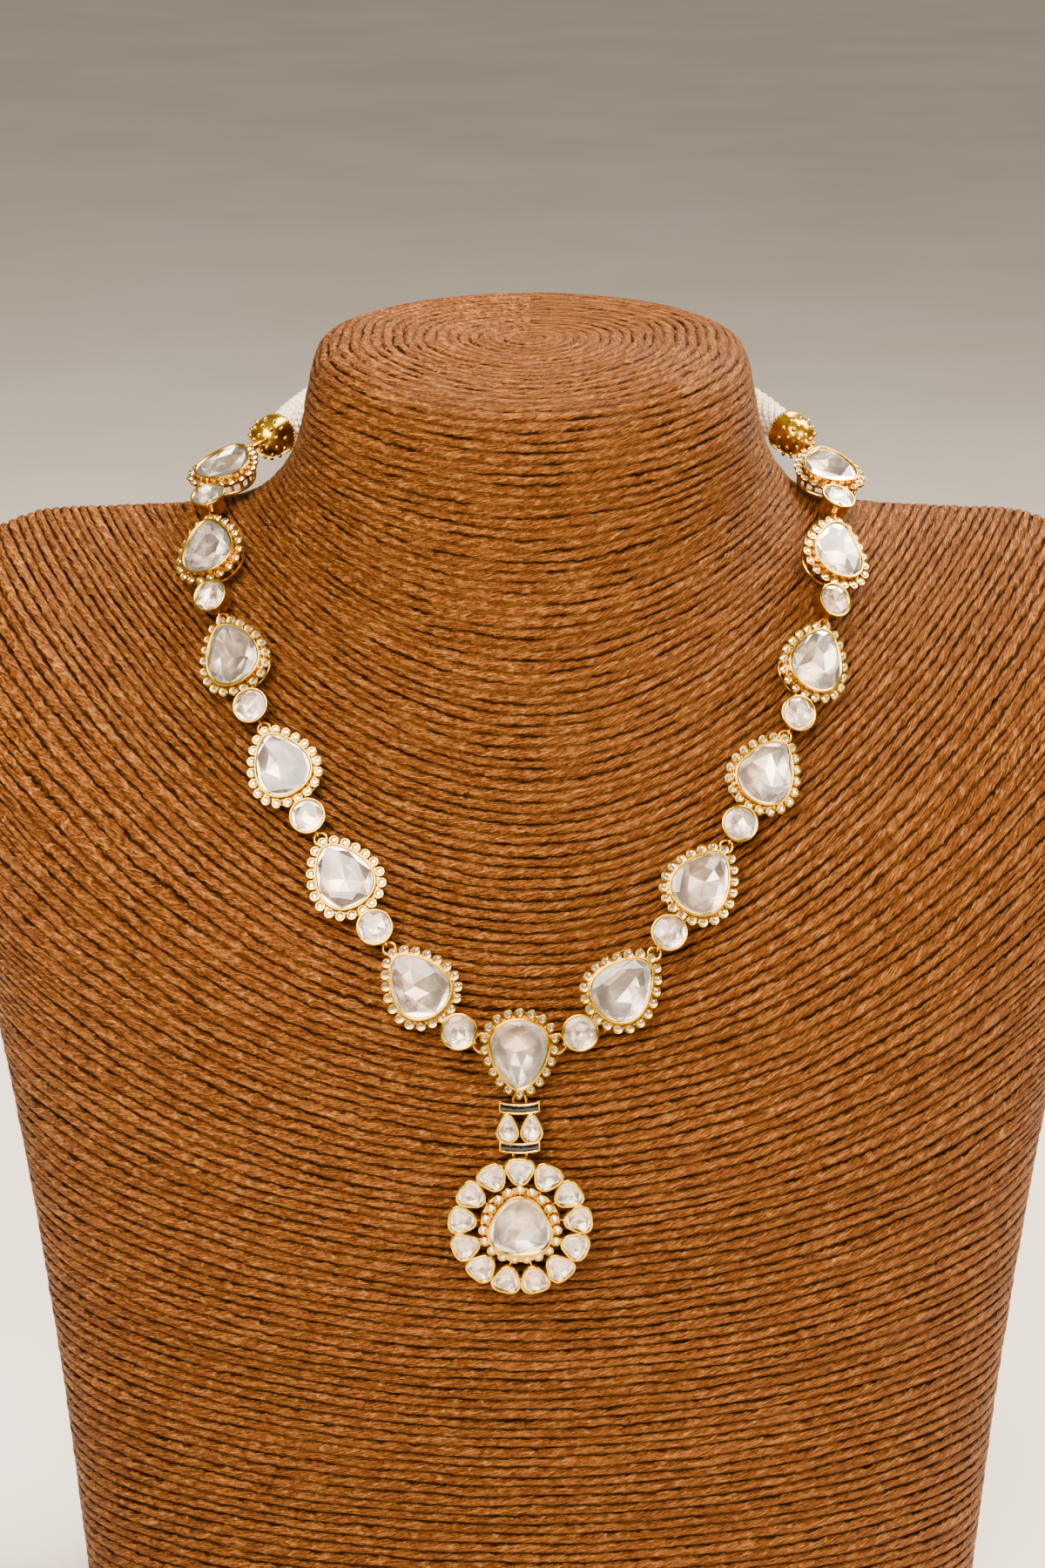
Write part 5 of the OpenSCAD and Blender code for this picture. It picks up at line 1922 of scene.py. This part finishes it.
@dataclass(frozen=True)
class DarkEnamel(Finish):
    """Vitreous enamel, fired and polished: almost black with a blue depth and a wet shine."""

    name: str = "fired_midnight_enamel"
    dark: str = "#050508"
    deep: str = "#0B0E1A"
    wave_mm: float = 10 / 7

    def sockets(self, tree: Tree) -> dict[str, object]:
        """A dark glossy body under a clear coat, with the slight waves of a fired surface.

        Args:
            tree: the material's node tree.

        Returns:
            Values, nodes or output sockets by socket.
        """
        place = add_node(tree, "TexCoord").outputs["Object"]
        wave = add_node(tree, "TexNoise", {"Vector": place, "Scale": 1 / (self.wave_mm * MM), "Detail": 1.0})
        colour = add_node(tree, "ValToRGB", {"Fac": wave}, ((0.35, self.dark), (0.7, self.deep)))
        bump = add_node(tree, "Bump", {"Height": wave, "Distance": 0.35 * MM, "Strength": 0.8})
        return {"Base Color": colour, "Normal": bump, "Roughness": 0.06, "Specular IOR Level": 0.4,
                "Coat Weight": 0.4, "Coat Roughness": 0.03}


@dataclass(frozen=True)
class SeedPearl(Finish):
    """Drilled seed pearls on thread: creamy white nacre with a soft shine, rosier from pearl to pearl."""

    name: str = "seed_pearl_nacre"
    cream: str = "#F7EEDD"
    rose: str = "#EFDCC8"
    patch_mm: float = 5 / 3

    def sockets(self, tree: Tree) -> dict[str, object]:
        """Nacre whose colour changes from pearl to pearl.

        Args:
            tree: the material's node tree.

        Returns:
            Values, nodes or output sockets by socket.
        """
        place = add_node(tree, "TexCoord").outputs["Object"]
        tone = add_node(tree, "TexNoise", {"Vector": place, "Scale": 1 / (self.patch_mm * MM), "Detail": 1.0})
        colour = add_node(tree, "ValToRGB", {"Fac": tone}, ((0.35, self.rose), (0.6, self.cream)))
        return {"Base Color": colour, "Roughness": 0.3, "Coat Weight": 0.6, "Coat Roughness": 0.15}


@dataclass(frozen=True)
class PalePlaster(Finish):
    """The studio's floor: pale matt plaster with a faint cloudiness."""

    name: str = "pale_matt_plaster"
    pale: str = "#EFE9E1"
    dusk: str = "#E6DED3"
    cloud_mm: float = 500 / 3

    def sockets(self, tree: Tree) -> dict[str, object]:
        """A matt surface, barely mottled.

        Args:
            tree: the material's node tree.

        Returns:
            Values, nodes or output sockets by socket.
        """
        place = add_node(tree, "TexCoord").outputs["Object"]
        cloud = add_node(tree, "TexNoise", {
            "Vector": place, "Scale": 1 / (self.cloud_mm * MM), "Detail": 3.0})
        colour = add_node(tree, "ValToRGB", {"Fac": cloud}, ((0.3, self.dusk), (0.7, self.pale)))
        return {"Base Color": colour, "Roughness": 0.85}


class Look(Enum):
    """How a piece is dressed: a slot's name, which nothing in the script reads, its finishes by index and its
    crease.

    Faces that meet at more than the crease, in degrees, stay sharp. Without a crease every face is
    flat and keeps its own tint, which on the stones is painted reflection and shade.
    """

    GOLD = ("gold", (PolishedGold(),), 38.0)
    STONE = ("stone", (ClearCrown(), SilverFoil()), None)
    BRILLIANT = ("stone", (CutBrilliant(),), None)
    ENAMEL = ("enamel", (DarkEnamel(),), 38.0)
    PEARL = ("seed_pearl", (SeedPearl(),), 38.0)
    CORD = ("paper_cord", (PaperCord(),), 180.0)

    def __init__(self, slot: str, finishes: tuple[Finish, ...], crease: float | None) -> None:
        """Names the look's three parts."""
        self.slot, self.finishes, self.crease = slot, finishes, crease


def placed(name: str, data: bpy.types.ID) -> bpy.types.Object:
    """Makes an object of its data, at the origin, and puts it in the scene."""
    thing = bpy.data.objects.new(name, data)
    bpy.context.scene.collection.objects.link(thing)
    return thing


@dataclass
class Workshop:
    """Turns shells into finished Blender objects that ride on the part."""

    materials: dict[Finish, Material] = field(default_factory=dict)

    def __post_init__(self) -> None:
        """Makes the material of every look's finishes."""
        for look in Look:
            self.materials |= {finish: finish.material() for finish in look.finishes}

    def piece(self, name: str, shell: Shell, look: Look, *replaced: str,
              cord_places: list[Array] | None = None, values: dict[str, Array] | None = None) -> None:
        """Args:
            name: the piece's name.
            shell: its points, in millimetres, and faces.
            look: how it is dressed.
            *replaced: the part's nodes that it stands for.
            cord_places: cord coordinates of the faces' corners.
            values: values of the points by name.
        """
        mesh = bpy.data.meshes.new(name)
        corners = np.concatenate([block.ravel() for block in shell.faces]).astype(np.int32)
        sizes = np.concatenate([np.full(len(block), block.shape[1]) for block in shell.faces])
        starts = np.concatenate([[0], np.cumsum(sizes)[:-1]]).astype(np.int32)
        index = np.concatenate([np.full(len(b), k) for b, k in zip(shell.faces, shell.finish)])
        mesh.vertices.add(len(shell.points))
        mesh.vertices.foreach_set("co", (shell.points * MM).ravel().astype(np.float32))
        mesh.loops.add(len(corners))
        mesh.loops.foreach_set("vertex_index", corners)
        mesh.polygons.add(len(sizes))
        mesh.polygons.foreach_set("loop_start", starts)
        mesh.polygons.foreach_set("material_index", index.astype(np.int32))
        mesh.update(calc_edges=True)
        for finish in look.finishes:
            mesh.materials.append(self.materials[finish])
        if look.crease is None:
            mesh.shade_flat()
            # The tint attribute carries the stones' painted reflection and shade, corner by corner.
            tint = mesh.color_attributes.new("tint", "FLOAT_COLOR", "CORNER")
            colours = np.concatenate([block.reshape(-1, 3) for block in shell.tints])
            tint.data.foreach_set("color", np.hstack([colours, np.ones((len(colours), 1))]).ravel())
        else:
            mesh.shade_smooth()
            mesh.set_sharp_from_angle(angle=math.radians(look.crease))
        if cord_places is not None:
            uv = mesh.uv_layers.new(name="cord")
            uv.data.foreach_set("uv", np.concatenate([p.reshape(-1, 2) for p in cord_places]).ravel())
        for key, value in (values or {}).items():
            mesh.attributes.new(key, "FLOAT", "POINT").data.foreach_set("value", value.astype(np.float32))
        thing = placed(name, mesh)
        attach(thing, "root")
        if replaced:
            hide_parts(*replaced)
        LOG.info("%s: %d triangles", name, int((sizes - 2).sum()))

    def keep(self, node: bpy.types.Object) -> None:
        """Gives a node of the part that keeps its shape its gold."""
        for slot in node.material_slots:
            slot.material = self.materials[Look.GOLD.finishes[0]]
        LOG.info("%s: kept from the part", node.name)


def build_bust(shop: Workshop, bust: Bust) -> None:
    """Builds the cord-wrapped bust."""
    for name, shell, places, values in CordWrap(bust).shells():
        shop.piece(name, shell, Look.CORD, "neck_bust", cord_places=places, values=values)


def build_chain(shop: Workshop, chain: Chain, nodes: dict[str, bpy.types.Object]) -> None:
    """Builds the links with their stones and all of the halos' brilliants, and dresses the rings.

    Args:
        shop: makes the pieces.
        chain: the necklace's sizes and frames.
        nodes: the part's objects by name.
    """
    collet_top = chain.collet_z + chain.collet_h
    gem = brilliant(chain.gem_r, collet_top - 0.22, collet_top + 0.2)
    brilliants, rounds = [], []
    rise = math.radians(chain.side_rise)
    side_eyes = [(sign * chain.side_eye * math.cos(rise), -chain.side_eye * math.sin(rise),
                  sign * (90 + chain.side_rise)) for sign in (-1, 1)]
    links = [("centre_{}", CENTRE_SHAPE, chain.centre, [(0, chain.tip_eye(CENTRE_SHAPE), 0), *side_eyes])]
    for side in Side:
        for i, shape in enumerate(chain.shapes(side), 1):
            eyes = [(0, chain.tip_eye(shape), 0), (0, -chain.blunt_eye(shape), 0)]
            links.append((f"pear_{{}}_{side.value}_{i}", shape, chain.pear_link(side, i), eyes))
    for i, (label, shape, frame, eyes) in enumerate(links):
        mount, top = PearMount(chain, shape), chain.bezel_top
        setting, stone = label.format("setting"), label.format("stone")
        shop.piece(f"{setting}_gold", mount.shell(eyes).put(frame), Look.GOLD, setting)
        cut = StoneCutter(mount.outline, grow=-0.62, floor=chain.plate_z + 0.65, girdle=top - 0.25,
                          table=top + 0.4, share=0.84, facets=5 + i % 3, per_facet=6, seed=i + 1)
        shop.piece(f"{stone}_cut", cut.shell().put(frame), Look.STONE, stone)
        brilliants.append(gem.repeated(with_height(mount.halo, 0.0)).put(frame))
    cup, top = RoundMount(chain).shell(), chain.round_h
    for side in Side:
        for i in range(1, len(chain.shapes(side)) + 1):
            frame, name = chain.round_link(side, i), f"round_setting_{side.value}_{i}"
            shop.piece(f"{name}_gold", cup.put(frame), Look.GOLD, name)
            cut = StoneCutter(CornerOutline(chain.round_d / 2), grow=-0.63, floor=3.75, girdle=top - 0.2,
                              table=top + 0.28, share=0.78, facets=5 + i % 3, per_facet=4,
                              seed=30 + 7 * i + side.sign)
            rounds.append(cut.shell().put(frame))
    shop.piece("round_stones_cut", joined(rounds), Look.STONE, "round_stones")
    flower = Flower(chain)
    halo = gem.repeated(with_height(flower.halo, flower.halo_rise)).put(flower.turned)
    brilliants.append(halo.put(chain.flower))
    shop.piece("halo_brilliants", joined(brilliants), Look.BRILLIANT)
    for name in ("jump_rings_left", "jump_rings_right", "pendant_rings"):
        shop.keep(nodes[name])


def build_pendant(shop: Workshop, chain: Chain) -> None:
    """Builds the bail and the flower with their stones.

    Args:
        shop: makes the pieces.
        chain: the necklace's sizes and frames.
    """
    bail, flower = Bail(chain), Flower(chain)
    for name, shell, frame, look, node in (
            ("bail_gold", bail.gold(), chain.bail, Look.GOLD, "bail_frame"),
            ("bail_enamel_bands", bail.enamel(), chain.bail, Look.ENAMEL, "bail_enamel"),
            ("bail_stones_cut", bail.stones(), chain.bail, Look.STONE, "bail_stones"),
            ("pendant_gold", flower.gold(), chain.flower, Look.GOLD, "pendant_frame"),
            ("pendant_stone_cut", flower.heart_stone(), chain.flower, Look.STONE, "pendant_stone"),
            ("petal_stones_cut", flower.petal_stones(), chain.flower, Look.STONE, "petal_stones")):
        shop.piece(name, shell.put(frame), look, node)


def build_rope(shop: Workshop, chain: Chain) -> None:
    """Builds the caps, the ropes of seed pearls and the clasp.

    Args:
        shop: makes the pieces.
        chain: the necklace's sizes and frames.
    """
    end, rope = RopeEnd(chain), PearlRope(chain)
    for side in Side:
        cap, strung = f"end_cap_{side.value}", f"pearl_rope_{side.value}"
        shop.piece(f"{cap}_gold", end.cap().put(chain.cap(side)), Look.GOLD, cap)
        shop.piece(f"{strung}_strung", rope.shell(side), Look.PEARL, strung)
    shop.piece("barrel_clasp_gold", end.clasp(), Look.GOLD, "barrel_clasp")


@dataclass(frozen=True)
class Lamp:
    """A square soft light: its place and size in metres, its power in watts and its colour."""

    name: str
    at: tuple[float, float, float]
    size: float
    power: float
    colour: str


@dataclass
class Studio:
    """Camera, soft lights and a plain pale floor. Places are in metres."""

    camera_at: tuple[float, float, float] = (-0.0020, -1.1144, 0.5020)
    pitch_degrees: float = 15.0
    focal_pixels: float = 5500.0
    sensor_mm: float = 36.0
    clip: tuple[float, float] = (0.01, 60.0)
    floor_size: float = 12.0
    lamps_aim: tuple[float, float, float] = (0, -0.03, 0.2)
    lamps: tuple[Lamp, ...] = (
        Lamp("key", (-0.27, -0.72, 0.92), 0.72, 36, "#FFF0DC"),
        Lamp("fill", (0.8, -0.9, 0.75), 0.6, 8, "#FFEAD6"),
        Lamp("overhead", (0.5, 0.3, 1.0), 0.7, 46, "#FFF0DC"))
    room_low: str = "#C4AE94"
    room_high: str = "#FFF4E6"
    room_strength: float = 0.4

    def camera(self) -> None:
        """Makes the camera: its lens is sensor x focal length in pixels / the image's height."""
        data = bpy.data.cameras.new("view")
        data.sensor_fit = "VERTICAL"
        data.sensor_height = self.sensor_mm
        data.lens = self.sensor_mm * self.focal_pixels / IMAGE_HEIGHT
        data.clip_start, data.clip_end = self.clip
        thing = placed("view", data)
        thing.location = self.camera_at
        thing.rotation_euler = (math.radians(90 - self.pitch_degrees), 0, 0)
        bpy.context.scene.camera = thing

    def lights(self) -> None:
        """Makes the lamps, which look at the necklace, and the room's own light."""
        for lamp in self.lamps:
            data = bpy.data.lights.new(lamp.name, "AREA")
            data.shape, data.size, data.energy = "SQUARE", lamp.size, lamp.power
            data.color = linear(lamp.colour)[:3]
            thing = placed(lamp.name, data)
            thing.location = lamp.at
            aim = Vector(self.lamps_aim) - Vector(lamp.at)
            thing.rotation_euler = aim.to_track_quat("-Z", "Y").to_euler()
        world = bpy.data.worlds.new("room")
        world.use_nodes = True
        tree = world.node_tree
        tree.nodes.clear()
        height = add_node(tree, "SeparateXYZ", {"Vector": add_node(tree, "TexCoord").outputs["Generated"]})
        glow = add_node(tree, "ValToRGB", {"Fac": height.outputs["Z"]}, (
            (0.0, self.room_low), (0.9, self.room_high)))
        room = add_node(tree, "Background", {"Color": glow, "Strength": self.room_strength})
        add_node(tree, "OutputWorld", {"Surface": room})
        bpy.context.scene.world = world

    def floor(self) -> None:
        """Makes the floor, which isn't part of the object."""
        half = self.floor_size / 2
        mesh = bpy.data.meshes.new("studio_floor")
        mesh.from_pydata([(-half, -half, 0), (half, -half, 0), (half, half, 0), (-half, half, 0)], [],
                         [(0, 1, 2, 3)])
        mesh.materials.append(PalePlaster().material())
        placed("studio_floor", mesh)


def corners(box: tuple[Vector, Vector]) -> list[list[float]]:
    """A box's two corners as plain lists."""
    return [list(corner) for corner in box]


def main() -> None:
    """Builds the studio, then the dressed bust and necklace."""
    logging.basicConfig(level=logging.INFO, format="%(message)s")
    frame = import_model()
    studio = Studio()
    studio.camera()
    studio.lights()
    studio.floor()
    bust = Bust()
    chain = Chain(bust)
    shop = Workshop()
    build_bust(shop, bust)
    build_chain(shop, chain, frame["nodes"])
    build_pendant(shop, chain)
    build_rope(shop, chain)


if __name__ == "__main__":
    main()
